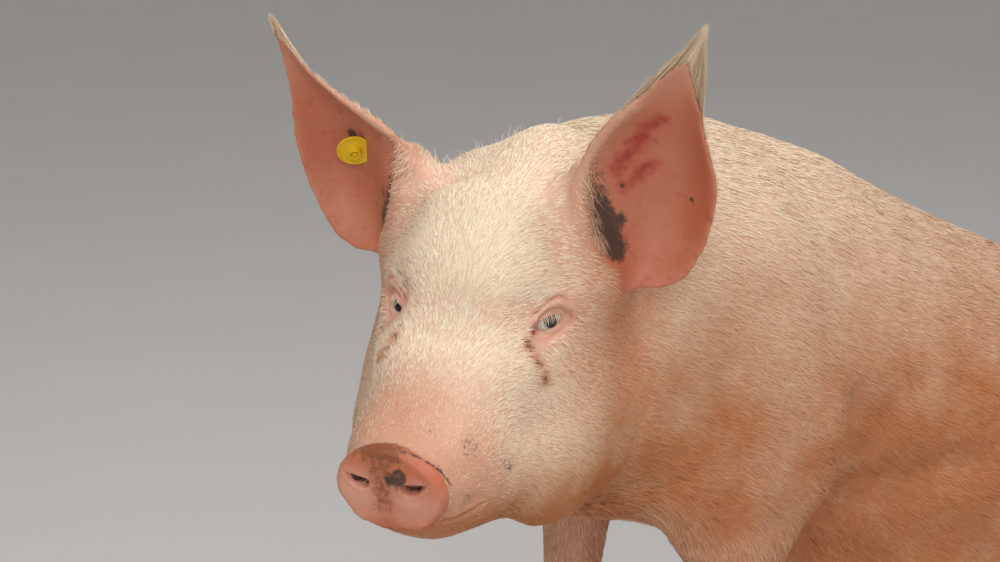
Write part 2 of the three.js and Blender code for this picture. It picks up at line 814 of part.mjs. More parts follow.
function eyePlace(side) {
  const look = new THREE.Vector3(side * EYE_LOOK[0], EYE_LOOK[1], EYE_LOOK[2]).normalize();
  const turn = new THREE.Quaternion().setFromUnitVectors(new THREE.Vector3(0, 0, 1), look);
  const at = new THREE.Vector3(side * EYE_AT[0], EYE_AT[1], EYE_AT[2]);
  const place = new THREE.Matrix4().compose(at, turn, new THREE.Vector3(1, 1, 1));
  return headFrame.clone().multiply(place);
}

function eyeSocket(side) {
  const ball = solid(new THREE.SphereGeometry(EYE_RADIUS + 2 * GAP, 14, 8), eyePlace(side));
  const opening = new THREE.CylinderGeometry(13, 8.5, 20, 14);
  opening.rotateX(Math.PI / 2).translate(0, 0, 16);
  return ball.add(solid(opening, eyePlace(side)));
}

function pinHole() {
  const drill = new THREE.CylinderGeometry(TAG_PIN + GAP, TAG_PIN + GAP, 30, TAG_AROUND);
  return solid(drill.rotateX(Math.PI / 2), tagFrame());
}

function addHead() {
  const shape = solid(headFlesh, headFrame)
    .intersect(before(HEAD_CUT, headFrame))
    .intersect(before(DISC_CUT, headFrame))
    .subtract(eyeSocket(SIDES.left))
    .subtract(eyeSocket(SIDES.right));
  addPiece("head", shape, "skin");
  addPiece("snout_disc", snoutDisc(), "bare");
  for (const [name, side] of Object.entries(SIDES)) {
    const ball = new THREE.SphereGeometry(EYE_RADIUS, 14, 8);
    addPiece("eye_" + name, solid(ball, eyePlace(side)), "eye");
    let ear = rooted(earLeaf(name), headFlesh, headFrame, [side * GAP, 0, GAP]);
    if (name === "right") ear = ear.subtract(pinHole());
    addPiece("ear_" + name, ear, "skin");
  }
  addPiece("ear_tag_button", solid(tagButton(), tagFrame()), "tag");
  addPiece("ear_tag_stud", solid(tagStud(), tagFrame()), "tag");
}

function addNeck() {
  const shape = solid(facet(bodyForm, [-260, -420, 330], [260, 60, 850], CELL.neck))
    .intersect(before(NECK_CUT))
    .intersect(beyond(HEAD_CUT, headFrame))
    .subtract(forelegRegion(SIDES.left, GAP))
    .subtract(forelegRegion(SIDES.right, GAP));
  addPiece("neck", shape, "skin");
}

function addTrunk() {
  let shape = solid(trunkFlesh).intersect(beyond(NECK_CUT)).intersect(floorCut);
  for (const side of Object.values(SIDES)) {
    shape = shape
      .subtract(forelegRegion(side, GAP))
      .subtract(thighRegion(side, GAP).intersect(before(HOCK_CUT, bodyFrame, GAP)))
      .subtract(shankRegion(side, GAP));
  }
  addPiece("trunk", shape, "skin");
}

// A claw: an outline pointed at the toe and flat on the side that faces its twin, standing on
// the floor and leaning back as it rises.
function claw(length, width, facing) {
  const around = 10;
  const layers = [
    [0, 0.93, 0],
    [6, 1, 0],
    [46, 0.74, 12],
  ];
  const rings = layers.map(([height, share, back]) =>
    Array.from({ length: around }, (_, i) => {
      const angle = (2 * Math.PI * i) / around;
      const across = Math.cos(angle) * (Math.sin(angle) < 0 ? 1 - 0.22 * Math.sin(angle) ** 2 : 1);
      const x = facing * Math.max(across, -0.8) * (width / 2) * share;
      const y = Math.sin(angle) * (length / 2) * share + back;
      return [x, y, height];
    }),
  );
  if (facing < 0) rings.forEach((ring) => ring.reverse());
  return loft(rings);
}

// A dewclaw: a blunt cone hanging back and down from the pastern.
function dewclaw(grow = 0) {
  const around = 6;
  const layers = [
    [-13, 8.5],
    [2, 8.5],
    [15, 3.5],
  ];
  const rings = layers.map(([height, radius], layer) =>
    Array.from({ length: around }, (_, i) => {
      const angle = (2 * Math.PI * i) / around;
      const size = radius + grow;
      const end = layer === 0 ? -grow : layer === layers.length - 1 ? grow : 0;
      return [size * Math.cos(angle), size * Math.sin(angle), height + end];
    }),
  );
  return loft(rings);
}

// Where a foot's claws and dewclaws stand, and the plane at which its flesh ends.
const FORE_FOOT = { x: FORE_X, y: -33, cut: FOOT_CUT, dew: [16, 8, 60], lean: 140 };
const HIND_FOOT = { x: HIND_X - 8, y: 390, cut: HIND_FOOT_CUT, dew: [29, 464, 15], lean: 100 };
const CLAW_LENGTH = 66;
const CLAW_WIDTH = 29;

// Adds a lower leg with its two claws and two dewclaws.
function addFoot(legName, side, shape, foot) {
  const twins = { outer: side, inner: -side };
  let leg = shape;
  for (const [twin, facing] of Object.entries(twins)) {
    const stand = new THREE.Matrix4().makeTranslation(
      side * foot.x + facing * (CLAW_WIDTH / 2 + GAP),
      foot.y,
      0,
    );
    const horn = solid(claw(CLAW_LENGTH, CLAW_WIDTH, facing), stand).intersect(beyond(foot.cut));
    addPiece(`claw_${legName}_${twin}`, horn, "horn");
    const [out, back, up] = foot.dew;
    const hang = new THREE.Matrix4()
      .makeTranslation(side * foot.x + facing * out, back, up)
      .multiply(new THREE.Matrix4().makeRotationX(rad(-foot.lean)))
      .multiply(new THREE.Matrix4().makeRotationY(rad(12 * facing)));
    leg = leg.subtract(solid(dewclaw(GAP), hang));
    addPiece(`dewclaw_${legName}_${twin}`, solid(dewclaw(), hang), "horn");
  }
  addPiece(legName, leg, "skin");
}

function addForeleg(name, side) {
  const low = [side > 0 ? 40 : -260, -170, -30];
  const high = [side > 0 ? 260 : -40, 120, 500];
  const shape = solid(facet(bodyForm, low, high, CELL.foreleg))
    .intersect(forelegRegion(side))
    .intersect(before(FOOT_CUT));
  addFoot("foreleg_" + name, side, shape, FORE_FOOT);
}

function addHindLeg(name, side) {
  const low = [side > 0 ? 90 : -290, 310, -40];
  const high = [side > 0 ? 290 : -90, 740, 440];
  const thigh = solid(facet(bodyForm, low, high, CELL.thigh))
    .intersect(thighRegion(side))
    .intersect(before(HOCK_CUT));
  addPiece("thigh_" + name, thigh, "skin");
  const shankLow = [side > 0 ? 130 : -260, 350, -40];
  const shankHigh = [side > 0 ? 260 : -130, 700, 160];
  const shank = solid(facet(bodyForm, shankLow, shankHigh, CELL.shank))
    .intersect(shankRegion(side))
    .intersect(before(HIND_FOOT_CUT))
    .intersect(floorCut);
  addFoot("hind_leg_" + name, side, shank, HIND_FOOT);
}

function addTail() {
  const shape = solid(tailLoft(rumpBack()));
  addPiece("tail", rooted(shape, trunkFlesh, bodyFrame, [0, GAP, 0]), "skin");
}

addHead();
addNeck();
addTrunk();
for (const [name, side] of Object.entries(SIDES)) {
  addForeleg(name, side);
  addHindLeg(name, side);
}
addTail();

// The origin is moved to the middle of the base of the box round the whole animal.
const box = new THREE.Box3().setFromObject(pig, true);
pig.position.set(-(box.min.x + box.max.x) / 2, -(box.min.y + box.max.y) / 2, -box.min.z);

export default pig;
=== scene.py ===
# %% [markdown]
# # A white farm pig, sitting
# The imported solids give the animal's true size, pose and place. This file dresses them: one
# skin over all the flesh, eyes with lids and lashes, horn claws, a plain round ear tag, and
# a coat of short bristles. Everything is in metres, with -Y ahead of the body, +X to the
# pig's left and Z up.

import bpy
import numpy as np
from mathutils import Matrix, Vector
from mathutils.bvhtree import BVHTree


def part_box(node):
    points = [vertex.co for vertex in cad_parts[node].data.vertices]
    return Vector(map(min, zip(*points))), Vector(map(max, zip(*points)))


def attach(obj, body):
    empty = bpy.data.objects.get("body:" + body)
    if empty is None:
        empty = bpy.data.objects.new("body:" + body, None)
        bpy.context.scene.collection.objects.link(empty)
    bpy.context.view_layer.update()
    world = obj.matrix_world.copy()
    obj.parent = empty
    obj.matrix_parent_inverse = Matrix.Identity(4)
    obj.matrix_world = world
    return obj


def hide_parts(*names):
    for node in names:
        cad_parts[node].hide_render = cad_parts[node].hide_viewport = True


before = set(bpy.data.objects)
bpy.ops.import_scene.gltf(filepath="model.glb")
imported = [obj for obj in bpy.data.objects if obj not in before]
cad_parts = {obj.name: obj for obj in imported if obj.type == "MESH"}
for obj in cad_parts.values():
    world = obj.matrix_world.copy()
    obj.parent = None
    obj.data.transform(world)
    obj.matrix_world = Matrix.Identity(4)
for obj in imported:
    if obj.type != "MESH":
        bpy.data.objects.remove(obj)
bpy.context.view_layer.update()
MM = 0.001
chance = np.random.default_rng(723)


# %% [markdown]
# Almost every step needs the same few moves: select one object and nothing else, read or
# write all its points at once, and make a modifier's result permanent. Points are handled
# as numpy arrays, because a skin of a hundred thousand points is too slow to visit one by
# one.


# %% Small helpers
def only(obj):
    """Selects one object and makes it the active one."""
    if bpy.context.mode != "OBJECT":
        bpy.ops.object.mode_set(mode="OBJECT")
    bpy.ops.object.select_all(action="DESELECT")
    obj.select_set(True)
    bpy.context.view_layer.objects.active = obj
    return obj


def read(items, field, width, kind=np.float32):
    """One field of every item, in rows of the given width."""
    flat = np.empty(len(items) * width, kind)
    items.foreach_get(field, flat)
    return flat.reshape(-1, width)


def points_of(obj):
    return read(obj.data.vertices, "co", 3).astype(float)


def normals_of(obj):
    return read(obj.data.vertex_normals, "vector", 3).astype(float)


def set_points(obj, points):
    obj.data.vertices.foreach_set("co", np.asarray(points, np.float32).ravel())
    obj.data.update()


def store(mesh, name, values):
    """Keeps one number for each point, for the materials to read."""
    attribute = mesh.attributes.new(name, "FLOAT", "POINT")
    attribute.data.foreach_set("value", np.asarray(values, np.float32))


def placed(name, data):
    """A new object, standing at the origin."""
    obj = bpy.data.objects.new(name, data)
    bpy.context.scene.collection.objects.link(obj)
    return obj


def modify(obj, kind, **settings):
    """Adds a modifier, sets it and applies it."""
    only(obj)
    modifier = obj.modifiers.new(kind.title(), kind)
    for name, value in settings.items():
        setattr(modifier, name, value)
    bpy.ops.object.modifier_apply(modifier=modifier.name)


def edit(obj, step, **settings):
    """Takes one step on the whole of an object in edit mode."""
    only(obj)
    bpy.ops.object.mode_set(mode="EDIT")
    bpy.ops.mesh.select_all(action="SELECT")
    step(**settings)
    bpy.ops.object.mode_set(mode="OBJECT")


def joined(pieces, name):
    """Joins the pieces into the first of them."""
    only(pieces[0])
    for piece in pieces:
        piece.select_set(True)
    bpy.ops.object.join()
    pieces[0].name = name
    return pieces[0]


def weigh(obj, name, weights):
    """Stores one weight for each point, in 21 steps, as a vertex group."""
    group = obj.vertex_groups.new(name=name)
    steps = np.round(np.clip(weights, 0, 1) * 20).astype(int)
    for step in range(1, 21):
        group.add(np.flatnonzero(steps == step).tolist(), step / 20, "REPLACE")
    return name


def unit(vectors):
    length = np.linalg.norm(vectors, axis=-1, keepdims=True)
    return vectors / np.maximum(length, 1e-12)


def smooth(low, high, values):
    """Rises from 0 at low to 1 at high without a corner."""
    t = np.clip((values - low) / (high - low), 0, 1)
    return t * t * (3 - 2 * t)


def ridge(distance, width):
    """One at no distance, and fading to 0 over the width."""
    return np.exp(-((distance / width) ** 2))


# %% [markdown]
# The head is turned and slightly tipped, so its details are placed in a frame of its own:
# x to the pig's left, y to its back and z up. The two eyes give that frame. The line
# between them is its x, and its y lies level.

# %% The head's own frame
def middle(node):
    low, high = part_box(node)
    return (np.array(low) + np.array(high)) / 2


EYE = {side: middle("eye_" + side) for side in ("left", "right")}
EYE_RADIUS = 12 * MM
head_x = unit(EYE["left"] - EYE["right"])
head_y = unit(np.cross([0, 0, 1], head_x))
head_z = np.cross(head_x, head_y)
HEAD_AXES = np.array([head_x, head_y, head_z])
HEAD_AT = (EYE["left"] + EYE["right"]) / 2 - 8 * MM * head_y + 1 * MM * head_z


def to_head(points):
    return (points - HEAD_AT) @ HEAD_AXES.T


def from_head(points):
    return np.asarray(points) @ HEAD_AXES + HEAD_AT


print("eyes apart", round(float(np.linalg.norm(EYE["left"] - EYE["right"])) / MM, 1), "mm")

# %% [markdown]
# The flesh comes as separate solids with thin cuts between them. Copies of them are grown
# by a hair's breadth so that they overlap, joined, and remeshed into one closed skin. The
# eye sockets and nostrils are filled first, so that they can be modelled finely afterwards.

# %% Copies of the flesh become one closed surface
APART = ("eye_", "claw_", "dewclaw_", "ear_tag_")
flesh = [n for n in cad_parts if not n.startswith(APART)]


def copy_of(node, name):
    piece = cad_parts[node].copy()
    piece.data = piece.data.copy()
    piece.name = name
    piece.parent = None
    bpy.context.scene.collection.objects.link(piece)
    edit(piece, bpy.ops.mesh.remove_doubles, threshold=0.00001)
    return piece


def ball(name, place, radius, size=(1, 1, 1)):
    bpy.ops.mesh.primitive_uv_sphere_add(segments=24, ring_count=12, radius=radius)
    piece = bpy.context.object
    piece.name = name
    piece.data.transform(Matrix.Diagonal((*size, 1)))
    turn = Matrix(HEAD_AXES.T.tolist()).to_4x4()
    piece.data.transform(Matrix.Translation(Vector(place)) @ turn)
    return piece


LOOK = {}
EYE_NUDGE = {"left": (4, -2, 1.5), "right": (-5.2, -3.4, -2.4)}
for side, sign in (("left", 1), ("right", -1)):
    LOOK[side] = unit(np.array([0.66 * sign, -0.745, 0.08])) @ HEAD_AXES
    EYE[side] = EYE[side] + np.array(EYE_NUDGE[side]) @ HEAD_AXES * MM
DISC_AT = np.array([0, -154, -90]) * MM
SOCKET_RADIUS = 13.5 * MM
parts = [copy_of(n, "flesh_" + n) for n in flesh]
for piece in parts:
    edit(piece, bpy.ops.transform.shrink_fatten, value=0.8 * MM)
for side in LOOK:
    parts.append(ball("filling_" + side, EYE[side] + 1 * MM * LOOK[side], SOCKET_RADIUS))
parts.append(ball("filling_snout", from_head(DISC_AT + [0, 12 * MM, 0]), 13 * MM, (2.4, 0.8, 1.2)))
skin = joined(parts, "skin")
modify(skin, "REMESH", mode="VOXEL", voxel_size=3 * MM)
print("skin remeshed", len(skin.data.vertices), "points")

# %% [markdown]
# The remeshed skin still shows the flat facets of the solids. Smoothing wears them away,
# and how much it takes depends on their size: the trunk's are wide, the ears' are small and
# the ears are thin, so each region gets its own share of the same smoothing.

# %% Which solid each point of the skin came from

def region_of(points, names):
    """The index in names of the solid nearest to each point."""
    corners, faces, owner = [], [], []
    for index, name in enumerate(names):
        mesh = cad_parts[name].data
        start = len(corners)
        corners += [v.co.copy() for v in mesh.vertices]
        faces += [[start + i for i in p.vertices] for p in mesh.polygons]
        owner += [index] * len(mesh.polygons)
    tree = BVHTree.FromPolygons(corners, faces)
    return np.array([owner[tree.find_nearest(p)[2]] for p in points])


SHARE = {"trunk": 1.0, "neck": 0.7, "thigh": 0.8, "head": 0.2, "foreleg": 0.25}
SHARE |= {"hind_leg": 0.25, "snout_disc": 0.1, "ear": 0.08, "tail": 0.08}
share = np.array([next(s for key, s in SHARE.items() if n.startswith(key)) for n in flesh])
region = region_of(points_of(skin).tolist(), flesh)
weigh(skin, "soften", share[region])
modify(skin, "SMOOTH", factor=0.5, iterations=150, vertex_group="soften")
modify(skin, "SMOOTH", factor=0.5, iterations=4)
print("skin softened", {n: int((region == i).sum()) for i, n in enumerate(flesh)})

# %% [markdown]
# A point every three millimetres is right for the face and far too many for the flanks.
# Decimate thins the points where its vertex group has weight, and leaves the head alone.

# %% Fewer points on the body than on the head
HEAD_NODES = [i for i, n in enumerate(flesh) if n.startswith(("head", "ear", "snout"))]
on_head = np.isin(region, HEAD_NODES)
weigh(skin, "thin_out", np.where(on_head, 0, 1))
before = len(skin.data.vertices)
modify(skin, "DECIMATE", ratio=0.215, vertex_group="thin_out", vertex_group_factor=10)
print("skin thinned from", before, "to", len(skin.data.vertices), "points")

# %% [markdown]
# The coat has a depth of its own, so the skin lies inside the solids by that much: two
# millimetres on the body, less on the face and ears, and nothing on the bare snout. Where
# the animal rests, its skin stays pressed flat just over the floor.

# %% The skin drawn in by the coat's depth
DEPTH = {"trunk": 2.2, "neck": 1.9, "head": 1.2, "ear": 0.9, "snout_disc": 0, "tail": 1}
points = points_of(skin)
region = region_of(points.tolist(), flesh)
depth = [next((d for key, d in DEPTH.items() if n.startswith(key)), 1.8) for n in flesh]
drawn = points - normals_of(skin) * (np.array(depth)[region] * MM)[:, None]
pressed = (points[:, 2] < 7 * MM) & (normals_of(skin)[:, 2] < -0.3)
drawn[pressed, 2] = 0.5 * MM
set_points(skin, drawn)
modify(skin, "SMOOTH", factor=0.5, iterations=2)

# %% [markdown]
# Lids, nostrils and lips need points closer together than the rest. The faces near them
# are selected by their place and subdivided, once for the surroundings and once more for
# the fine parts.

# %% Finer faces round the eyes, nostrils and mouth
SNOUT_TILT = np.radians(9)
snout_out = from_head([0, -np.cos(SNOUT_TILT), -np.sin(SNOUT_TILT)]) - HEAD_AT
snout_up = from_head([0, -np.sin(SNOUT_TILT), np.cos(SNOUT_TILT)]) - HEAD_AT
SNOUT_AT = from_head(DISC_AT)
SNOUT_AXES = np.array([head_x, snout_up, snout_out])
MOUTH = np.array([[27, -147, -119], [37, -134, -118], [43, -116, -113], [47, -98, -107]]) * MM


def to_snout(points):
    """Left, up and out of the middle of the snout's flat face."""
    return (points - SNOUT_AT) @ SNOUT_AXES.T


def line_distance(points, line):
    """How far points are from a line of points, and how far along it they lie, 0 to 1."""
    line = np.asarray(line, float)
    best = np.full(len(points), np.inf)
    along = np.zeros(len(points))
    for i, (a, b) in enumerate(zip(line[:-1], line[1:])):
        t = np.clip((points - a) @ (b - a) / ((b - a) @ (b - a)), 0, 1)
        d = np.linalg.norm(points - a - t[:, None] * (b - a), axis=1)
        nearer = d < best
        best[nearer] = d[nearer]
        along[nearer] = ((i + t) / (len(line) - 1))[nearer]
    return best, along


def refine(obj, chosen, cuts=1):
    """Subdivides the faces whose middles are chosen."""
    only(obj)
    faces = obj.data.polygons
    picked = chosen(read(faces, "center", 3).astype(float))
    bpy.ops.object.mode_set(mode="EDIT")
    bpy.ops.mesh.select_all(action="DESELECT")
    bpy.ops.object.mode_set(mode="OBJECT")
    faces.foreach_set("select", picked)
    bpy.ops.object.mode_set(mode="EDIT")
    bpy.ops.mesh.select_mode(type="FACE")
    bpy.ops.mesh.subdivide(number_cuts=cuts, smoothness=0)
    bpy.ops.object.mode_set(mode="OBJECT")
    return int(picked.sum())


def near_eyes(radius):
    return lambda p: np.minimum(*[np.linalg.norm(p - EYE[s], axis=1) for s in EYE]) < radius


def near_snout(p):
    u, v, out = to_snout(p).T
    return (np.hypot(u, v) < 50 * MM) & (out > -22 * MM)


def near_nostrils(p):
    u, v, out = to_snout(p).T
    side_of = np.abs(u + 3.5 * MM)
    return (np.hypot((side_of - 23 * MM) / 1.7, v - 4 * MM) < 8 * MM) & (out > -8 * MM)


def near_mouth(p):
    local = to_head(p)
    local[:, 0] = np.abs(local[:, 0])
    return line_distance(local, MOUTH)[0] < 9 * MM


counts = [refine(skin, near_eyes(34 * MM)), refine(skin, near_eyes(22 * MM))]
counts += [refine(skin, near_snout), refine(skin, near_nostrils), refine(skin, near_mouth)]
print("faces refined", counts, "points now", len(skin.data.vertices))


# %% [markdown]
# The solids end each ear in the point of its hair tuft. The skin's own tip is round and
# lower, so the top of each ear is drawn down towards it, more and more up to the tip. Then
# the front edges are drawn to their curves: the near one stands forward over a deep hollow,
# and the far one sweeps out from the skull. Each edge is rolled, and thicker than the ear.

# %% Ears: tips, front edges and hollows
EAR_TOP = {"left": (140, 231, 0.26), "right": (150, 228, 0.36)}
RIM_OUT = ([60, 100, 125, 153, 180, 200], [82, 86, 96, 122, 136, 148])
TO_MIDDLE = {
    "left": ([25, 55, 100, 130, 168, 186, 200], [0, 8, 15, 9, 1, 3, 2]),
    "right": ([60, 85, 107, 122, 134, 146, 165, 180, 197], [0, 5, 13, 19, 8, -5, -14, -13, -7]),
}
ROLL = {
    "left": [[76, 31, 58], [72, 31, 82], [71, 30, 102], [74, 28, 125], [84, 26, 147], [104, 24, 170]],
    "right": [[80, 31, 60], [78, 31, 82], [74, 30, 102], [80, 28, 122], [112, 27, 143], [138, 24, 165]],
}
POLL_DROP, ROLL_RISE, HOLLOW_DEPTH = 13.5, 3.2, 6.5
HOLLOW = [[86, 33, 112], [87, 35, 94], [91, 39, 74], [96, 45, 52]]
points = points_of(skin)
local = to_head(points) / MM
for sign, side in ((1, "left"), (-1, "right")):
    low, high, drop = EAR_TOP[side]
    up = np.clip((local[:, 2] - low) / (high - low), 0, 1)
    ear = smooth(64, 74, local[:, 0] * sign)
    local[:, 2] -= ear * (high - low) * drop * up**3
    out, back, z = local[:, 0] * sign, local[:, 1], local[:, 2]
    rim = ridge(out - np.interp(z, *RIM_OUT), 32)
    by = np.interp(z, *TO_MIDDLE[side]) * rim
    by += (sign > 0) * 8 * smooth(95, 150, z) * smooth(60, 80, out)
    local[:, 0] -= sign * by * smooth(-12, 12, back) * (1 - smooth(75, 115, back)) * (out > 20)
x, y, z = local.T
crest = smooth(60, 100, z) * smooth(0, 40, y) * (1 - smooth(130, 190, y))
local[:, 2] -= POLL_DROP * ridge(x + 28, 30) * crest
points = from_head(local * MM)
set_points(skin, points)
outwards = normals_of(skin)
roll_of, hollow_of = np.zeros(len(points)), np.zeros(len(points))
for sign, side in ((1, "left"), (-1, "right")):
    here = local * [sign, 1, 1]
    facing = (outwards @ HEAD_AXES.T * [sign, 1, 1]) @ unit(np.array([0.35, -0.93, 0.1]))
    rolled, along = line_distance(here, ROLL[side])
    roll = ridge(rolled, 9) * smooth(0, 0.15, along)
    deep = ridge(line_distance(here, HOLLOW)[0], 10) * smooth(0.1, 0.6, facing)
    roll_of, hollow_of = np.maximum(roll_of, roll), np.maximum(hollow_of, deep)
points = points + outwards * ((ROLL_RISE * roll_of - HOLLOW_DEPTH * hollow_of) * MM)[:, None]
set_points(skin, points)
print("skin reaches", np.round(points.max(0), 3), "metres")

# %% [markdown]
# The body has folds of its own. The upper arm folds over the chest in a long crease, the
# flank sinks in a soft line over the belly, and the thigh of the sitting animal swells
# behind a bent groove. The top of the neck and back is filled out to its full height.

# %% Folds of the body
CREASE = np.array([[150, -112, 560], [151, -117, 524], [149, -121, 495], [135, -130, 450]])
CREASE = np.vstack([CREASE, [[100, -128, 395], [83, -121, 357], [66, -112, 300]]]) * MM
NECK_TOP = ([-0.42, -0.31, -0.16, -0.07, 0.1, 0.35], [0, 11, 9.5, 8, 5, 0])
BELLY = np.array([[0, -115, 425], [0, -82, 437], [0, -28, 450], [0, 35, 454], [0, 90, 452]]) * MM
THIGH = np.array([[0, 200, 140], [0, 220, 250], [0, 280, 340], [0, 380, 400], [0, 480, 420]]) * MM
outwards = normals_of(skin)
x, y, z = points.T
level = np.interp(y, *NECK_TOP) * ridge(x - 0.01, 0.09) * smooth(0.25, 0.85, outwards[:, 2])
by = 0 * level
for sign in (1, -1):
    line = CREASE * [sign, 1, 1]
    distance, along = line_distance(points, line)
    d, ends = distance / MM, smooth(0, 0.25, along) * (1 - smooth(0.8, 1, along))
    ahead = smooth(-8, 8, (np.interp(z, line[::-1, 2], line[::-1, 1]) - y) / MM)
    fold = -10 * ridge(d, 12) + 8 * ahead * ridge(d - 30, 24)
    fold -= 9 * (1 - ahead) * ridge(d - 26, 34)
    by += fold * ends * (np.abs(x) > 20 * MM) * (x * sign > 0)
flank = smooth(0.3, 0.6, np.abs(outwards[:, 0]))
distance, along = line_distance(points * [0, 1, 1], BELLY)
ends = smooth(0, 0.2, along) * (1 - smooth(0.5, 1, along)) * flank
under = smooth(-10, 10, (np.interp(y, BELLY[:, 1], BELLY[:, 2]) - z) / MM)
by += ends * (-7 * ridge(distance / MM, 20) + 6 * under * ridge(distance / MM - 45, 30))
distance, along = line_distance(points * [0, 1, 1], THIGH)
ends = smooth(0, 0.15, along) * (1 - smooth(0.7, 1, along)) * flank
behind = smooth(-10, 10, (y - np.interp(z, THIGH[:, 2], THIGH[:, 1])) / MM)
by += ends * (-8 * ridge(distance / MM, 22) + 7 * behind * ridge(distance / MM - 60, 45))
points = points + outwards * (by * MM)[:, None]
points[:, 2] += level * MM
chin = to_head(points) / MM
under_snout = (1 - smooth(-122, -100, chin[:, 1])) * (1 - smooth(-122, -112, chin[:, 2]))
raised = 2.5 * ridge(chin[:, 0], 30) * under_snout
points = points + head_z * (raised * MM)[:, None]
set_points(skin, points)
print("folds move the skin by up to", round(float(np.abs(by).max()), 1), "mm")

# %% [markdown]
# A pig's eye is small and set deep. The upper lid has a narrow fold just over its edge and
# a soft band above that, closed by the reddish crease of the brow, and the lower lid has
# one or two finer folds. The lids follow the eyeball, so their height is worked out from
# its radius, in a frame of each eye's own: towards the outer corner, up, and out along the
# look. Points nearest to the edge of the lids are moved onto it, which keeps it clean.

# %% Eyelids
INNER_CORNER, OUTER_CORNER = (-13.4, -5.4), (13.2, 2.8)
LID_ABOVE, LID_BELOW = 7.2, 4.0
LID_THICK = 1.7
EYE_AXES = {}
for side, sign in (("left", 1), ("right", -1)):
    rise = unit(head_z - (head_z @ LOOK[side]) * LOOK[side])
    EYE_AXES[side] = np.array([np.cross(rise, LOOK[side]) * sign, rise, LOOK[side]])


def to_eye(points, side):
    """Millimetres to the outer corner, up and out from the middle of the eyeball."""
    return (points - EYE[side]) @ EYE_AXES[side].T / MM


def lid_middle(h):
    """The height of the line from corner to corner, and how far along it h lies."""
    along = np.clip((h - INNER_CORNER[0]) / (OUTER_CORNER[0] - INNER_CORNER[0]), 0, 1)
    return INNER_CORNER[1] + (OUTER_CORNER[1] - INNER_CORNER[1]) * along, along


def beyond_lids(h, v):
    """How far a place lies outside the opening between the lids, less than 0 inside it."""
    line, along = lid_middle(h)
    arch = (4 * along * (1 - along)) ** 0.8
    gap = np.maximum(v - line - LID_ABOVE * arch, line - LID_BELOW * arch - v)
    past = np.maximum(INNER_CORNER[0] - h, 0) + np.maximum(h - OUTER_CORNER[0], 0)
    return np.where(past > 0, np.hypot(past, gap), gap)


def onto_edge(a, b, edge, reach):
    """Moves places closer than reach to the edge, where edge(a, b) is 0, onto it."""
    q = edge(a, b)
    slope_a = (edge(a + 0.1, b) - edge(a - 0.1, b)) / 0.2
    slope_b = (edge(a, b + 0.1) - edge(a, b - 0.1)) / 0.2
    steep = np.maximum(np.hypot(slope_a, slope_b), 0.3)
    shift = np.where(np.abs(q) < reach, -q / steep**2, 0)
    return a + shift * slope_a, b + shift * slope_b


TROUGH = {"left": 6.5, "right": 12.5}
LIDS_REACH, TROUGH_REACH = 32, 75


def trough(h, v, side):
    """The hollow between the eye and the bridge of the nose."""
    along, across = -0.946 * h + 0.325 * v, 0.325 * h + 0.946 * v
    return TROUGH[side] * ridge(along - 26, 19) * ridge(across - 1, 17)


# %% The lids laid over the eyeballs
points = points_of(skin)
for side in EYE:
    local = to_eye(points, side)
    off_axis, to_fore = np.hypot(local[:, 0], local[:, 1]), local[:, 2] > -6
    wide = (off_axis >= LIDS_REACH) & (off_axis < TROUGH_REACH) & to_fore
    local[wide, 2] -= trough(local[wide, 0], local[wide, 1], side)
    points[wide] = EYE[side] + local[wide] * MM @ EYE_AXES[side]
    near = (off_axis < LIDS_REACH) & to_fore
    h, v, w = local[near].T
    w = w - trough(h, v, side)
    h, v = onto_edge(h, v, beyond_lids, 0.45)
    q = beyond_lids(h, v)
    above = smooth(-1.5, 1.5, v - lid_middle(h)[0])
    r2 = h**2 + v**2
    r = np.sqrt(r2)
    w = w + 1.2 * (1 - smooth(12, 31, r))
    lid = np.sqrt(np.maximum((EYE_RADIUS / MM + LID_THICK + 0.2 * q) ** 2 - r2, 1))
    lid = np.maximum(lid, w - 3.6 - 2.4 * smooth(7, 13, r))
    behind = np.sqrt(np.maximum(10.6**2 - r2, 0))
    shape = lid + (w - lid) * smooth(1, 9, q)
    shape -= above * 1.3 * ridge(q - 4.2, 0.9) * smooth(-13, -9, h) * (1 - smooth(9, 13, h))
    shape += above * 1.2 * ridge(q - 9, 3.5)
    shape -= above * 1.7 * ridge(q - 14, 1.3) * smooth(-19, -13, h) * (1 - smooth(6, 16, h))
    shape += (1 - above) * (0.5 * ridge(q - 2.2, 1.6) - 0.9 * ridge(q - 5.2, 0.9))
    shape -= (1 - above) * 0.6 * ridge(q - 9.5, 1.1) * smooth(-6, 4, h)
    behind = np.where(r < 10.4, behind, lid - 3.8)
    shape = behind + (shape - behind) * smooth(-0.8, 0.15, q)
    fade = 1 - smooth(22, 31, r)
    moved = np.stack([h, v, w + (shape - w) * fade], axis=1)
    points[near] = EYE[side] + moved * MM @ EYE_AXES[side]
    ring = [float(w[np.abs(r - out) < 1.5].mean()) for out in (8, 14, 20, 26)]
    print(side, "eye: skin stands at", np.round(ring, 1), "mm, 8 to 26 mm from its axis")
set_points(skin, points)

# %% [markdown]
# The snout ends in a bare disc with a thick rounded rim. Each nostril is a comma: a dark
# oval pit that runs out and up towards the rim as a closing groove, with a smooth lobe
# below it. One line with a width and a depth along it makes the whole comma.

# %% Snout disc and nostrils
NOSTRIL = [[16.5, 1.8], [22.5, 3.2], [29.5, 7], [35, 12]]
SEPTUM = -3.5
RIM = (43.5, 35.0)


def rim_shape(u, v):
    """The rim is flattened at its shoulders and drawn out to the chin."""
    angle = np.degrees(np.arctan2(v, u))
    change = 0.17 * ridge(angle + 90, 42) - 0.1 * ridge(angle - 45, 38)
    change -= 0.07 * ridge(angle - 125, 45)
    return 1 + change + 0.05 * ridge(np.abs(angle) - 180, 45)


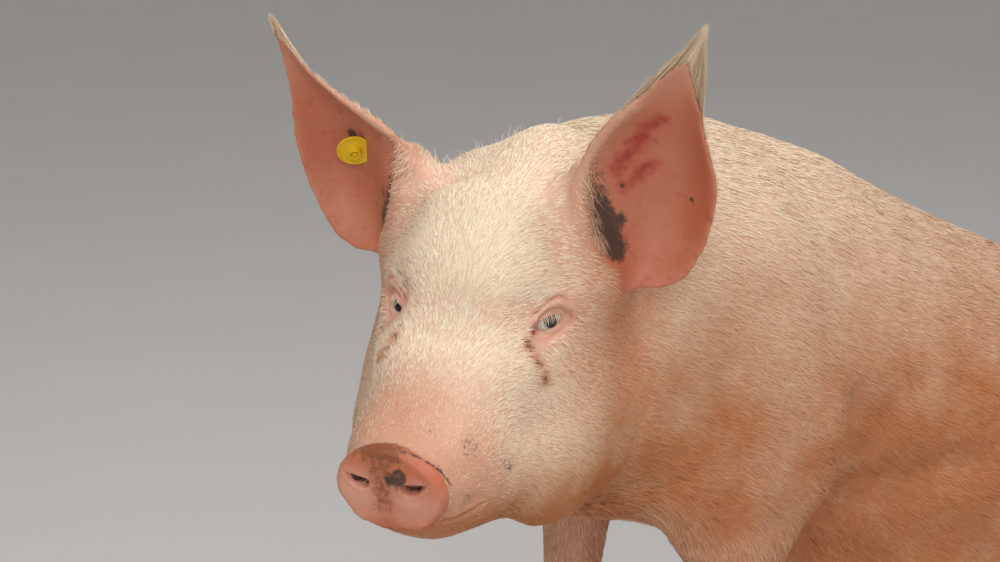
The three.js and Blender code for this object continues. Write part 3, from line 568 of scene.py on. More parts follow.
def beyond_nostril(u, v):
    distance, along = line_distance(np.stack([np.abs(u - SEPTUM), v], axis=1), NOSTRIL)
    return distance - (3.8 - 3.0 * smooth(0.3, 0.85, along))


points = points_of(skin)
local = to_snout(points) / MM
near = (np.hypot(local[:, 0], local[:, 1]) < 60) & (local[:, 2] > -34)
u, v, out = local[near].T
change = (rim_shape(u, v) - 1) * smooth(-32, -6, out)
points[near] = SNOUT_AT + np.stack([u + u * change, v + v * change, out], 1) * MM @ SNOUT_AXES
local = to_snout(points) / MM
near = (np.hypot(local[:, 0] / RIM[0], local[:, 1] / RIM[1]) < 1.3) & (local[:, 2] > -9)
u, v, out = local[near].T
u, v = onto_edge(u, v, beyond_nostril, 0.5)
q = beyond_nostril(u, v)
along = line_distance(np.stack([np.abs(u - SEPTUM), v], axis=1), NOSTRIL)[1]
from_rim = np.hypot(u / RIM[0], v / RIM[1]) / rim_shape(u, v)
front = smooth(-6, -1, out)
side_of = np.abs(u - SEPTUM)
out = out + front * 1.3 * ridge(from_rim - 0.86, 0.1)
out += front * 2.0 * ridge(np.hypot((side_of - 20) / 10, (v + 8) / 7), 1)
out += front * 1.2 * ridge(np.hypot((side_of - 18) / 10, (v - 12) / 4), 1)
out -= front * 1.0 * ridge(u - SEPTUM, 4) * (1 - smooth(-6, 4, v))
out += front * 0.9 * ridge(q - 1.8, 1.6) * (1 - smooth(0.5, 0.9, along))
depth = 1.2 + 2.6 * (1 - smooth(0.45, 1, along)) + 8.5 * (1 - smooth(0.15, 0.5, along))
out -= front * depth * (1 - smooth(-2.2, 0.3, q))
points[near] = SNOUT_AT + np.stack([u, v, out], axis=1) * MM @ SNOUT_AXES
set_points(skin, points)
print("snout points", int(near.sum()))

# %% [markdown]
# The mouth starts under the disc and ends in a short corner on the cheek. Its line is laid
# on the skin first, each point at the nearest place, and the skin is then pressed in along
# it with a soft lip on either side.

# %% The mouth
skin.data.update()
depsgraph = bpy.context.evaluated_depsgraph_get()
tree = BVHTree.FromObject(skin, depsgraph)
points, outwards = points_of(skin), normals_of(skin)
for sign in (1, -1):
    path = [MOUTH[0]] + [m for a, b in zip(MOUTH[:-1], MOUTH[1:]) for m in ((a + b) / 2, b)]
    laid = [tree.find_nearest(from_head(p * [sign, 1, 1]))[0] for p in path]
    near = np.flatnonzero(np.linalg.norm(points - np.array(laid[4]), axis=1) < 60 * MM)
    distance, along = line_distance(points[near], laid)
    d, ends = distance / MM, 1 - smooth(0.75, 1, along)
    by = -2.6 * ridge(d, 1.5) * ends + 1.1 * ridge(d - 4.5, 2.2) * ends
    points[near] += outwards[near] * (by * MM)[:, None]
set_points(skin, points)
bpy.ops.object.select_all(action="DESELECT")
only(skin)
bpy.ops.object.shade_smooth()
print("skin has", len(skin.data.polygons), "faces")

# %% [markdown]
# The eyeball is a ball with the clear bulge of the cornea over its iris. Its poles lie
# along the look, so that its rings run round the iris, and each point stores how far it is
# from the middle of the iris for the material to read.

# %% Eyeballs
CORNEA_RISE, CORNEA_RADIUS, OFF_THE_FRONT = 1.1, 7, 12
GAZE = {"left": (0.056, 0.10, 0.991), "right": (-0.487, 0.066, 0.871)}
eyeballs = []
for side in EYE:
    gaze = unit(np.array(GAZE[side]) @ EYE_AXES[side])
    over = unit(np.cross(gaze, EYE_AXES[side][0]))
    axes = np.array([np.cross(over, gaze), over, gaze])
    bpy.ops.mesh.primitive_uv_sphere_add(segments=48, ring_count=40, radius=EYE_RADIUS)
    eyeball = bpy.context.object
    eyeball.name = "eyeball_" + side
    points = points_of(eyeball)
    across = np.hypot(points[:, 0], points[:, 1]) / MM
    bulge = CORNEA_RISE * (1 - smooth(0, CORNEA_RADIUS, across)) * (points[:, 2] > 0)
    points *= (1 + bulge * MM / EYE_RADIUS)[:, None]
    set_points(eyeball, EYE[side] + points @ axes)
    store(eyeball.data, "off_iris", np.where(points[:, 2] > 0, across, OFF_THE_FRONT))
    edit(eyeball, bpy.ops.mesh.normals_make_consistent, inside=False)
    bpy.ops.object.shade_smooth()
    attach(eyeball, "root")
    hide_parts("eye_" + side)
    eyeballs.append(eyeball)
print("eyeballs", len(eyeballs))

# %% [markdown]
# Claws and dewclaws are horn. Their solids have flat facets, so copies of them are joined,
# remeshed finely and smoothed, which rounds their edges as wear does.

# %% Claws
horn_nodes = [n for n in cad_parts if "claw" in n]
claws = joined([copy_of(n, "horn_" + n) for n in horn_nodes], "claws")
modify(claws, "REMESH", mode="VOXEL", voxel_size=2 * MM)
modify(claws, "SMOOTH", factor=0.5, iterations=10)
bpy.ops.object.shade_smooth()
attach(claws, "root")
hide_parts(*horn_nodes)
print("claws", len(claws.data.polygons), "faces")

# %% [markdown]
# The ear tag is a round plate of soft yellow plastic with a thick rim and a hollow boss that
# holds the point of its pin. A cylinder gives the plate, and its top face is inset and
# extruded again and again for the rim, the boss and the hole. The plate hangs tilted, so
# that its upper edge stands clear of the ear.


# %% Ear tag
def inset_and_raise(inset, rise):
    bpy.ops.mesh.inset(thickness=inset * MM)
    bpy.ops.mesh.extrude_region_move(TRANSFORM_OT_translate={"value": (0, 0, rise * MM)})


PLATE = {"radius": 14.5 * MM, "depth": 2 * MM}
TAG_FACE = unit(np.array([0.37, -0.785, -0.497])) @ HEAD_AXES
TAG_NUDGE = np.array([3.2, -1.5, 2.3])
TAG_STEPS = ((1.5, -0.7), (7.6, 0.6), (0.5, 5.2), (1.3, -2.4), (1.5, 1.8))
pin_way = unit(middle("ear_tag_button") - middle("ear_tag_stud"))
plate_at = middle("ear_tag_button") + 6.4 * MM * pin_way + TAG_NUDGE * MM @ HEAD_AXES
bpy.ops.object.select_all(action="DESELECT")
bpy.ops.mesh.primitive_cylinder_add(vertices=48, **PLATE)
plate = bpy.context.object
bpy.ops.object.mode_set(mode="EDIT")
bpy.ops.mesh.select_all(action="DESELECT")
bpy.ops.object.mode_set(mode="OBJECT")
for face in plate.data.polygons:
    face.select = face.normal.z > 0.9
bpy.ops.object.mode_set(mode="EDIT")
bpy.ops.mesh.select_mode(type="FACE")
for inset, rise in TAG_STEPS:
    inset_and_raise(inset, rise)
bpy.ops.object.mode_set(mode="OBJECT")
turn = Vector(TAG_FACE).to_track_quat("Z", "Y").to_matrix().to_4x4()
plate.data.transform(Matrix.Translation(Vector(plate_at)) @ turn)
pin_from = middle("ear_tag_stud")
bpy.ops.object.select_all(action="DESELECT")
bpy.ops.mesh.primitive_cylinder_add(
    vertices=20, radius=2.5 * MM, depth=float(np.linalg.norm(plate_at - pin_from))
)
pin = bpy.context.object
turn = Vector(plate_at - pin_from).to_track_quat("Z", "Y").to_matrix().to_4x4()
pin.data.transform(Matrix.Translation(Vector((plate_at + pin_from) / 2)) @ turn)
joined([plate, pin], "tag_button")
modify(plate, "BEVEL", width=0.35 * MM, segments=2, limit_method="ANGLE")
bpy.ops.object.shade_smooth_by_angle(angle=np.radians(40))
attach(plate, "root")
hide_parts("ear_tag_button")
print("tag plate at", np.round(plate_at, 4).tolist(), len(plate.data.polygons), "faces")

# %% [markdown]
# Every tuft of the coat is placed by the skin under it: where it stands, which way the hair
# lies there, and how dense and long it is. The skin's faces are unwrapped flat once, so
# that each tuft can keep its place on that unwrap.

# %% The skin's unwrap and which part of the body each point is on
edit(skin, bpy.ops.uv.smart_project, angle_limit=np.radians(66), island_margin=0.002)
mesh = skin.data
mesh.calc_loop_triangles()
triangles = read(mesh.loop_triangles, "vertices", 3, np.int32)
loops = read(mesh.loop_triangles, "loops", 3, np.int32)
unwrap = read(mesh.uv_layers.active.data, "uv", 2)
points, outwards = points_of(skin), normals_of(skin)
region = region_of(points.tolist(), flesh)
place = np.array(flesh)[region]
local = to_head(points) / MM
corner = points[triangles]
cross = np.cross(corner[:, 1] - corner[:, 0], corner[:, 2] - corner[:, 0])
area = np.linalg.norm(cross, axis=1) / 2
for name in flesh:
    print(name, round(float(area[place[triangles[:, 0]] == name].sum()), 3), "square metres")

# %% [markdown]
# On the face the hair runs back from the snout, up the bridge to the crest between the
# ears, outwards over the brows, and back and down over the cheeks. On the body it runs back
# and down, on the legs down, and on ears and tail towards the tip. Each part gives its own
# direction first, and the directions are then evened out from point to point.


# %% The lie of the hair
def starts(*names):
    return np.array([n.startswith(names) for n in flesh])[region]


LIE_ON_BODY = {"trunk": [0, 1, -0.62], "thigh": [0, 0.3, -0.9], "foreleg": [0, 0.15, -1]}
LIE_ON_BODY |= {"hind_leg": [0, 0.15, -1], "tail": [-0.2, 0.5, -0.8]}
sign = np.where(local[:, 0] > 0, 1, -1)
apart = np.abs(local[:, 0])
outward = 1.15 * smooth(14, 55, apart) * smooth(-60, 10, local[:, 2])
rise = 0.25 - 0.95 * smooth(45, 80, apart)
face = np.stack([sign * outward, np.ones(len(points)), rise], axis=1)
ear_up = np.stack([sign * 0.5, np.full(len(points), -0.15), np.full(len(points), 0.85)], axis=1)
flow = np.where(starts("ear")[:, None], ear_up, face) @ HEAD_AXES
steep = np.interp(points[:, 2], [0.2, 0.45, 0.75], [0.5, 0.35, 0.75])
neck = np.stack([0 * steep, 0 * steep + 1, -steep], axis=1)
flow = np.where(starts("neck")[:, None], neck, flow)
for part, way in LIE_ON_BODY.items():
    flow = np.where(starts(part)[:, None], way, flow)
for side in EYE:
    h, v, w = to_eye(points, side).T
    reach = np.exp(-((np.hypot(h, v) / 26) ** 2)) * (w > -8)
    away = np.stack([h, v, 0 * h], axis=1) @ EYE_AXES[side]
    flow = flow + unit(away) * (1.6 * reach)[:, None]

one, two = read(mesh.edges, "vertices", 2, np.int32).T
number = np.bincount(one, minlength=len(points)) + np.bincount(two, minlength=len(points))


def evened(values, times):
    """Replaces each point's values by the mean of its neighbours', several times over."""
    for _ in range(times):
        total = [
            np.bincount(one, values[two, k], len(points))
            + np.bincount(two, values[one, k], len(points))
            for k in range(values.shape[1])
        ]
        values = 0.3 * values + 0.7 * np.stack(total, axis=1) / number[:, None]
    return values


flow = evened(unit(flow), 25)
flow = unit(flow - (flow * outwards).sum(1)[:, None] * outwards)
print("flow at", len(flow), "points")

# %% [markdown]
# Skin and hair carry the same marks, so each mark is worked out once, for every point of
# the skin: how stained with straw and dung it is, where painted shade darkens it, how bare
# and rosy it is, and where mud and dark grime sit. The tufts then take the marks of the skin
# at their roots. The ears come first: their inside is bare, and it ends where the skin turns away from
# the front.

# %% The bare inside of the ears
def spots(places, *listed):
    """The strongest of some round spots, each given as x, y, z, radius and strength."""
    strongest = np.zeros(len(places))
    for x, y, z, radius, strength in listed:
        d = np.linalg.norm(places - [x, y, z], axis=1)
        strongest = np.maximum(strongest, strength * ridge(d, radius))
    return strongest


def most(*layers):
    """The strongest of several layers at each point."""
    return np.maximum.reduce(layers)


turned = (outwards @ HEAD_AXES.T) * np.stack([sign, sign * sign, sign * sign], axis=1)
EAR_FRONT = np.array([0.42, -0.9, 0.08])
EAR_BEGINS = ([30, 63, 93, 107, 148, 190], [45, 43, 38, 33, 18, 8])
on_ear = starts("ear", "head") & (local[:, 2] > 12) & (apart > 70)
on_ear &= local[:, 1] < 74 + 4 * np.maximum(local[:, 2] - 20, 0)
on_ear &= starts("ear") | (local[:, 1] < 64)
to_front = turned @ EAR_FRONT
inner = smooth(-0.16, 0.12, to_front) * on_ear
inner = inner * smooth(12, 20, local[:, 2]) * smooth(70, 78, apart)
inner = inner * smooth(-4, 3, local[:, 1] - np.interp(local[:, 2], *EAR_BEGINS))
folded = np.stack([apart, local[:, 1], local[:, 2]], axis=1)
on_left = local[:, 0] > 0
rolled = [line_distance(folded, ROLL[side])[0] for side in ("left", "right")]
rolled = ridge(np.where(on_left, *rolled), 11) * (starts("ear", "head")) * (local[:, 2] > 35)
inner = inner * (1 - 0.75 * rolled)
print("inside of the ears", int((inner > 0.5).sum()), "points")

# %% [markdown]
# The snout's disc is bare, and so is a band round each eye, wide above it and narrow below.
# The folds of the lids and the inner corner of the eye are redder than the rest of the band.

# %% The snout's disc and the skin round the eyes
u, v, out = to_snout(points).T / MM
from_rim = np.hypot(u / RIM[0], v / RIM[1]) / rim_shape(u, v)
disc = (1 - smooth(0.98, 1.1, from_rim)) * smooth(-11, -7, out)
bare = np.zeros(len(points))
brow = np.zeros(len(points))
for side in EYE:
    h, up, w = to_eye(points, side).T
    q = beyond_lids(h, up)
    rise_of = (up - lid_middle(h)[0]) / 8
    ahead_of_ball = w > -6
    over_it = np.maximum(np.clip(rise_of, 0, 1), np.clip(-h / 15, 0, 1))
    under_it = np.clip(-rise_of, 0, 1) * (1 - over_it)
    start = 1 + 7 * over_it + under_it
    stop = start + 12 + 7 * over_it + 5 * under_it
    bare = np.maximum(bare, (1 - smooth(start, stop, q)) * ahead_of_ball)
    fold = ridge(q - 13.8, 2) * smooth(-20, -14, h) * (1 - smooth(6, 19, h))
    fold += 0.6 * ridge(q - 4.2, 1.1) + 0.5 * ridge(q, 1.4)
    brow = np.maximum(brow, 1.15 * fold * (up > lid_middle(h)[0]) * ahead_of_ball)
    corner = np.hypot((h + 14.5) / 4.2, (up + 6.2) / 3)
    brow = np.maximum(brow, 1.2 * ridge(corner, 1) * ahead_of_ball)
    lower = 0.45 * ridge(q - 5.2, 1.2) + 0.3 * ridge(q, 1.3)
    brow = np.maximum(brow, lower * (up <= lid_middle(h)[0]) * ahead_of_ball)
print("round the eyes", int((bare > 0.5).sum()), "points")

# %% [markdown]
# Straw and dung stain a sitting pig from below: most on the chin, the chest and the flanks,
# and less and less up to the back. The same layer also paints shade under the body and the
# chin, with a warm tint of bounced light, so its darkening towards the floor is partly stain
# and partly painted shade. On the snout the stain gathers at the top and bottom of the disc
# and down its middle, and tears leave a little of it under each eye.

# %% The stain, with painted shade under the body
height = points[:, 2]
on_head = starts("head", "snout", "ear")
# Darker towards the floor on the body: straw and dung stain and painted shade together.
STAIN_AND_SHADE_OF_HEIGHT = ([0.3, 0.45, 0.53, 0.6, 0.68, 0.78, 0.87], [1.15, 1.1, 0.95, 0.52, 0.2, 0.04, 0])
outer = smooth(62, 92, apart)
stain_and_shade = np.maximum(1.2 * (1 - smooth(-150, -62, local[:, 2])), 0.5 * outer)
stain_and_shade = np.maximum(stain_and_shade, outer * (0.5 + 0.3 * smooth(10, 40, local[:, 1])))
stain_and_shade = np.maximum(stain_and_shade, 0.4 * smooth(-60, -110, local[:, 1]))
rear = smooth(0.12, 0.42, points[:, 1])
body = np.interp(height, *STAIN_AND_SHADE_OF_HEIGHT) * (1 - 0.55 * rear)
stain_and_shade = np.where(on_head, stain_and_shade, body)
stain_and_shade = np.where(starts("foreleg", "hind_leg", "tail"), 0.6, stain_and_shade)
stain_and_shade = np.where(starts("ear") & (inner < 0.5), 0.12, stain_and_shade)
stain_and_shade = evened(stain_and_shade[:, None], 110)[:, 0]
# Tan over the inside of the ears: partly their own colour, partly painted shade of the hollows, heavier
# on the shaded right ear.
stain_and_shade = np.maximum(stain_and_shade, inner * np.where(on_left, 0.38, 0.62))
beside = np.abs(u - SEPTUM)
lobes = ridge(np.hypot((beside - 21) / 12, (v + 9) / 9), 1)
crusted = 0.95 * smooth(4, 20, v) + 0.6 * ridge(u - SEPTUM, 14) + 0.85 * (1 - smooth(-34, -20, v))
crusted = np.clip(crusted + 0.6 * ridge(from_rim - 0.94, 0.12) * smooth(0, 20, u), 0.25, 1)
stain_and_shade = np.where(disc > 0.05, disc * crusted * (1 - 0.8 * lobes), stain_and_shade)
WEPT = [(57, -35, -8, 6, 0.9), (62, -33, -20, 7, 0.8), (68, -31, -33, 9, 0.7)]
WEPT += [(-40, -60, -12, 7, 0.8), (-47, -65, -26, 8, 0.7)]
stain_and_shade = np.maximum(stain_and_shade, spots(local, *WEPT))
print("stain_and_shade", round(float(stain_and_shade.mean()), 3), "on average")

# %% [markdown]
# Blood shows through where the skin is thin: inside the ears, which have two deep red
# streaks, on the rim of the snout, round the eyes and, more faintly, on the temples.

# %% The flush
RED_UP = [[94, 50, 116], [101, 51, 126], [110, 51, 141], [119, 49, 156]]
RED_LOW = [[96, 58, 100], [106, 63, 109], [118, 62, 117]]
DEEP = [[78, 40, 109], [80, 45, 93], [84, 49, 77], [89, 53, 63], [95, 55, 50]]
ORBIT = [(44, -36, 12, 17, 0.4), (34, -44, 15, 13, 0.34), (54, -38, -9, 13, 0.34)]
ORBIT += [(76, -4, -26, 15, 0.3), (70, 26, 20, 20, 0.32)]
paler = 1 - 0.35 * smooth(140, 195, local[:, 2])
red = 0.95 * ridge(line_distance(folded, RED_LOW)[0], 18)
red = np.maximum(ridge(line_distance(folded, RED_UP)[0], 24), red)
in_hollow = line_distance(folded, DEEP)[0]
orbit = spots(folded, *ORBIT)
upper_rim = ridge(from_rim - 0.98, 0.16) * smooth(-4, 16, v) * smooth(-14, -8, out)
right_rim = ridge(from_rim - 0.93, 0.15) * disc * smooth(0, 26, u) * (1 - smooth(-6, 14, v))
rosy = most(
    0.25 * bare,
    0.85 * brow,
    orbit,
    0.7 * inner * paler,
    0.8 * inner * ridge(in_hollow, 20),
    red * inner,
    0.2 * rolled,
    (0.68 - 0.16 * lobes) * disc,
    0.7 * upper_rim,
    0.82 * right_rim,
    0.2 * smooth(24, 60, apart) * smooth(-95, -60, local[:, 2]) * on_head,
    0.2 * smooth(-60, -118, local[:, 1]) * on_head,
    np.interp(height, [0.45, 0.75], [0.16, 0.04]) * ~on_head,
)
print("flush", round(float(rosy.mean()), 3), "on average")

# %% [markdown]
# Mud dries on the snout, under the eyes and on the feet. Dark grime sits behind the rim of
# the snout, in a patch on its disc and in small flecks. The same dark layer also holds painted
# shade: near-black in the nostrils, dark deep in the ears (partly dirt), dark patches on the
# muzzle, and a painted shadow beside the tag.

# %% Mud, grime and painted shade
TEARS = [(55, -36, -5, 4.5, 0.9), (58, -34, -11, 4.5, 0.9), (63, -33, -21, 5, 0.6)]
TEARS += [(67, -31, -33, 7, 0.6), (-45, -44, -1, 4, 0.8), (-36, -55, -4, 3, 0.7)]
TEARS += [(-38, -60, -12, 3, 0.8), (-43, -64, -20, 4, 0.75), (-49, -66, -29, 5, 0.6)]
# Dark patches on the muzzle and face: painted shade.
SMUDGES_OF_SHADE = [(43, -114, -63, 13, 0.42), (61, -79, -88, 12, 0.45), (46, -122, -101, 9, 0.42)]
SMUDGES_OF_SHADE += [(20, -130, -50, 14, 0.3), (-20, -140, -50, 12, 0.3), (30, -60, 40, 12, 0.2)]
FLECKS = [(112, 47, 84, 2.5, 0.8), (104, 44, 96, 2.5, 0.7), (147, 72, 92, 4, 0.7), (127, 58, 70, 2, 0.7)]
FLECKS += [(118, 50, 122, 2, 0.8), (128, 52, 132, 2, 0.7), (96, 36, 128, 3, 0.7), (149, 60, 176, 2, 0.6)]
FLECKS += [(96, 56, 100, 3, 0.7), (101, 60, 88, 3, 0.7), (96, 56, 72, 9, 0.85), (107, 58, 96, 2.5, 0.7)]
# A painted shadow on the right ear beside the tag.
TAG_SHADOW = [(-134, 63, 113, 6, 0.85), (-129, 62, 111, 4, 0.8)]
BEHIND_RIM = [[9, -155, -58], [23, -151, -63], [31, -147, -70], [41, -140, -84]]
SCRATCH = [[163, -181, 531], [162, -178, 508]]
SPECKS = [(161, -189, 559, 3, 0.6), (163, -178, 553, 3, 0.6), (152, -130, 543, 3, 0.6)]
crust = 0.7 * ridge(v - 28, 10) * (1 - smooth(2, 24, u)) * smooth(-14, -9, out)
mud = most(
    0.56 * ridge((u + 7) / 14, 1) * smooth(-38, -12, v) * disc * (1 - 0.7 * lobes),
    crust * (1 - smooth(1.08, 1.22, from_rim)),
    0.5 * (1 - smooth(-34, -24, v)) * disc,
    0.5 * (1 - smooth(0.02, 0.12, height)),
    spots(local, *TEARS),
)
patch = ridge(np.hypot(u - 5, v - 8.6), 8) + ridge(np.hypot(u - 8, v - 13), 6)
patch += 0.8 * ridge(np.hypot(u + 1, v - 7), 3.5)
# Near-black in the nostril pits: painted shade.
nostril_shade = 1 - smooth(-1.6, -0.2, beyond_nostril(u, v))
to_fore = smooth(-0.4, -0.1, to_front)
# Dark deep in each ear's hollow: dirt and painted shade.
hollow_dirt_and_shade = ridge(in_hollow, 13) * to_fore * (1 - 0.5 * smooth(76, 108, local[:, 2]))
# Grime, and in the same layer the painted shade of the nostrils, ear hollows, muzzle and tag.
grime_and_shade = most(
    0.7 * ridge(line_distance(local, BEHIND_RIM)[0], 2.6),
    0.66 * np.clip(patch, 0, 1) * disc,
    nostril_shade * disc * (1 - smooth(24, 31, beside)),
    0.85 * hollow_dirt_and_shade * starts("ear", "head"),
    0.62 * ridge(line_distance(points / MM, SCRATCH)[0], 2),
    spots(local, *SMUDGES_OF_SHADE, *TAG_SHADOW),
    spots(folded, *FLECKS) * inner,
    spots(points / MM, *SPECKS),
)
MARKS = {"stain_and_shade": stain_and_shade, "rosy": rosy, "mud": mud, "grime_and_shade": grime_and_shade, "bare": np.maximum(bare, disc)}
for name, values in MARKS.items():
    store(mesh, name, np.clip(values, 0, 1))
marks = np.stack([np.clip(m, 0, 1) for m in MARKS.values()], axis=1)
print("marks", {name: round(float(values.mean()), 3) for name, values in MARKS.items()})

# %% [markdown]
# A tuft here is one thin blade of three faces: wide at the root, bent once, and drawn to a
# point. Tens of thousands of them are worked out together. Each starts just under the skin
# and follows the lie of the hair at a small angle that differs a little from one to the
# next, so that the coat has depth without looking combed. On the unwrap each tuft is a
# patch 0.003 across at its root's place.


# %% How a coat piece is made
BEND, SHOULDER = 0.45, 0.85
LEAST_HEIGHT, ROOT_DEPTH = 0.8 * MM, 0.3 * MM
PATCH = np.array([[-1, -1], [1, -1], [-1, 0], [1, 0], [0, 1]]) * 0.0015


def tufts(name, root, ways, across, long, wide, flat, taken):
    """Makes one blade for each root: ways holds its lower and upper directions."""
    count = len(root)
    half = (across * wide[:, None]) / 2
    mid = root + ways[0] * (BEND * long)[:, None]
    tip = mid + ways[1] * ((1 - BEND) * long)[:, None]
    upper = SHOULDER * half
    five = np.stack([root - half, root + half, mid - upper, mid + upper, tip], 1)
    five[..., 2] = np.maximum(five[..., 2], LEAST_HEIGHT)
    start = np.arange(count, dtype=np.int32)[:, None] * 5
    corners = (start + np.array([0, 1, 3, 0, 3, 2, 2, 3, 4], np.int32)).ravel()
    mesh = bpy.data.meshes.new(name)
    mesh.vertices.add(count * 5)
    mesh.vertices.foreach_set("co", five.astype(np.float32).ravel())
    mesh.loops.add(count * 9)
    mesh.loops.foreach_set("vertex_index", corners)
    mesh.polygons.add(count * 3)
    mesh.polygons.foreach_set("loop_start", np.arange(0, count * 9, 3, dtype=np.int32))
    mesh.polygons.foreach_set("use_smooth", np.ones(count * 3, bool))
    mesh.update(calc_edges=True)
    patches = (flat[:, None, :] + PATCH).reshape(-1, 2)[corners]
    mesh.uv_layers.new(name="OFBake").data.foreach_set("uv", patches.astype(np.float32).ravel())
    values = {"tone": chance.random(count)} | dict(zip(MARKS, taken.T))
    for label, value in values.items():
        store(mesh, label, np.repeat(value, 5))
    piece = placed(name, mesh)
    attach(piece, "root")
    print(name, count, "tufts")
    return piece


def coat(name, chosen, count, length, width, angle, sway=0.2, lay=None, aim=None, clean=0):
    """Grows count tufts on the chosen faces; sizes are in millimetres and degrees. The hair
    follows lay, or runs straight to the places in aim; clean takes away its marks."""
    weight = area * chosen
    face = np.searchsorted(np.cumsum(weight), chance.random(count) * weight.sum())
    a, b = chance.random((2, count))
    flip = a + b > 1
    a, b = np.where(flip, 1 - a, a), np.where(flip, 1 - b, b)
    share = np.stack([1 - a - b, a, b], axis=1)

    def spread(values):
        return (values[triangles[face]] * share[:, :, None]).sum(1)

    root, normal = spread(points), unit(spread(outwards))
    flat = (unwrap[loops[face]] * share[:, :, None]).sum(1)
    if aim is None:
        lie = spread(flow if lay is None else lay) + chance.normal(0, sway, (count, 3))
        lie = unit(lie - (lie * normal).sum(1)[:, None] * normal)
        spot = length
        if np.ndim(length):
            spot = (share * length[triangles[face]]).sum(1)
        long = spot * chance.uniform(0.6, 1.15, count) * MM
        lean = np.radians(angle * chance.uniform(0.5, 1.5, count))
        ways = [
            lie * np.cos(turn)[:, None] + normal * np.sin(turn)[:, None]
            for turn in (lean, lean * 0.45)
        ]
    else:
        away = spread(aim) - root
        long = np.linalg.norm(away, axis=1) * chance.uniform(0.7, 1.0, count)
        long = np.minimum(long, length * MM)
        lie = unit(unit(away) + chance.normal(0, sway, (count, 3)))
        ways = [unit(lie + normal * np.sin(np.radians(angle))), lie]
    across = unit(np.cross(normal, lie))
    roll = chance.normal(0, 0.35, count)[:, None]
    across = across * np.cos(roll) + normal * np.sin(roll)
    wide = width * chance.uniform(0.7, 1.2, count) * MM
    root = root - normal * ROOT_DEPTH
    return tufts(name, root, ways, across, long, wide, flat, spread(marks) * (1 - clean))


# %% [markdown]
# The hair is longest on the crest, neck and back, short on the muzzle and legs, and all but
# missing round the eyes and inside the ears. The density of each part is a weight on the
# skin's faces, and the length is a value at its points. Some hair is special: a wisp that
# runs to a point over each ear's tip, a fringe on its edges, long hairs across its hollow,
# and bristles that stand up on the crest.

# %% How dense and long the hair is
TIP = {1: [163, 14, 237], -1: [-185, 12, 212]}
WISP_FROM = {1: 146, -1: 160}
at_face = triangles[:, 0]


def where(*names):
    return starts(*names)[at_face].astype(float)


cover = np.clip((1 - bare) * (1 - disc) * (1 - 1.06 * inner) * (1 - 0.8 * rolled), 0, 1)
cover = cover * (1 - ridge(in_hollow, 23) * to_fore) * (1 - 1.2 * np.minimum(orbit, 0.5))
cover = (cover * (1 - 0.5 * smooth(-70, -118, local[:, 1]) * on_head))[at_face]
length = np.interp(local[:, 1], [-150, -100, -60, 0, 60], [3.5, 5, 8, 9.5, 8])
length = np.where(starts("neck", "trunk", "thigh", "tail"), 15, length)
length = np.where(starts("foreleg", "hind_leg"), 11, length)
length = np.where(starts("ear"), 8, length)
length = length * (1 - 0.4 * inner) * (1 - 0.35 * rolled)
length = evened(length[:, None], 6)[:, 0]
print("hair from", round(float(length.min()), 1), "to", round(float(length.max()), 1), "mm long")

# %% [markdown]
# The hair on each ear turns towards its tip. Each coat piece is one region of the body,
# small enough to stay under 200,000 faces.

# %% The coat over the whole body
near_tip = smooth(110, 190, local[:, 2]) * starts("ear")
tip_at = np.where(local[:, :1] > 0, TIP[1], TIP[-1])
flow = flow * (1 - near_tip)[:, None] + unit((tip_at - local) @ HEAD_AXES) * near_tip[:, None]
flow = unit(flow - (flow * outwards).sum(1)[:, None] * outwards)
front = (local[:, 1] < -5)[at_face]
left = (points[:, 0] > 0)[at_face]
ahead = (points[:, 1] < 0.1)[at_face]
trunk_face = where("trunk")
coats = [
    coat("coat_face", where("head", "snout") * front * cover, 64000, length, 0.68, 8, 0.14),
    coat("coat_poll", where("head") * ~front * cover, 42000, length, 0.7, 8, 0.14),
    coat("coat_ears", where("ear") * cover, 24000, length, 0.5, 8),
    coat("coat_neck", where("neck") * cover, 58000, length, 0.72, 7),
    coat("coat_trunk_front_left", trunk_face * left * ahead, 66000, length, 0.8, 6.5),
    coat("coat_trunk_front_right", trunk_face * ~left * ahead, 54000, length, 0.85, 6.5),
    coat("coat_trunk_rear_left", trunk_face * left * ~ahead, 54000, length, 0.9, 6.5),
    coat("coat_trunk_rear_right", trunk_face * ~left * ~ahead, 52000, length, 0.9, 6.5),
    coat("coat_legs", where("foreleg", "hind_leg", "thigh", "tail"), 56000, length, 1.0, 9),
]

# %% [markdown]
# The special hair follows. It is thinner than the coat and stands out more.

# %% Wisps, fringes, ear hair and bristles
facing = turned @ unit(EAR_FRONT)
wisp = smooth(0, 25, local[:, 2] - np.where(on_left, WISP_FROM[1], WISP_FROM[-1]))
wisp = wisp * starts("ear") * (1 - smooth(-0.1, 0.35, facing))
coats.append(
    coat("ear_wisps", wisp[at_face], 4800, 50, 0.45, 0, 0.03, aim=from_head(tip_at * MM), clean=0.8)
)
edge = ridge(facing + 0.2, 0.16) * starts("ear") * smooth(24, 40, local[:, 2])
coats.append(coat("ear_fringe", edge[at_face], 7000, 7, 0.35, 26, 0.25, clean=0.8))
inside = np.stack([sign * 0.7, np.full(len(points), -0.1), np.full(len(points), -0.75)], axis=1)
LIP = [[74, 31, 120], [73, 33, 104], [75, 36, 88], [79, 40, 72], [84, 44, 56]]
lip = ridge(line_distance(folded, LIP)[0], 5) * starts("ear", "head")
coats.append(
    coat("ear_hair", lip[at_face], 380, 16, 0.34, 18, 0.2, lay=inside @ HEAD_AXES, clean=0.3)
)
stiff = spots(local, (-53, 58, 98, 12, 1), (-40, 75, 100, 12, 0.6), (-12, 108, 118, 12, 0.7))
stiff += 0.03 * smooth(70, 100, local[:, 2]) * (apart < 70) * (local[:, 1] < 190)
coats.append(coat("bristles", (stiff * ~starts("ear"))[at_face], 90, 17, 0.35, 36, 0.3))

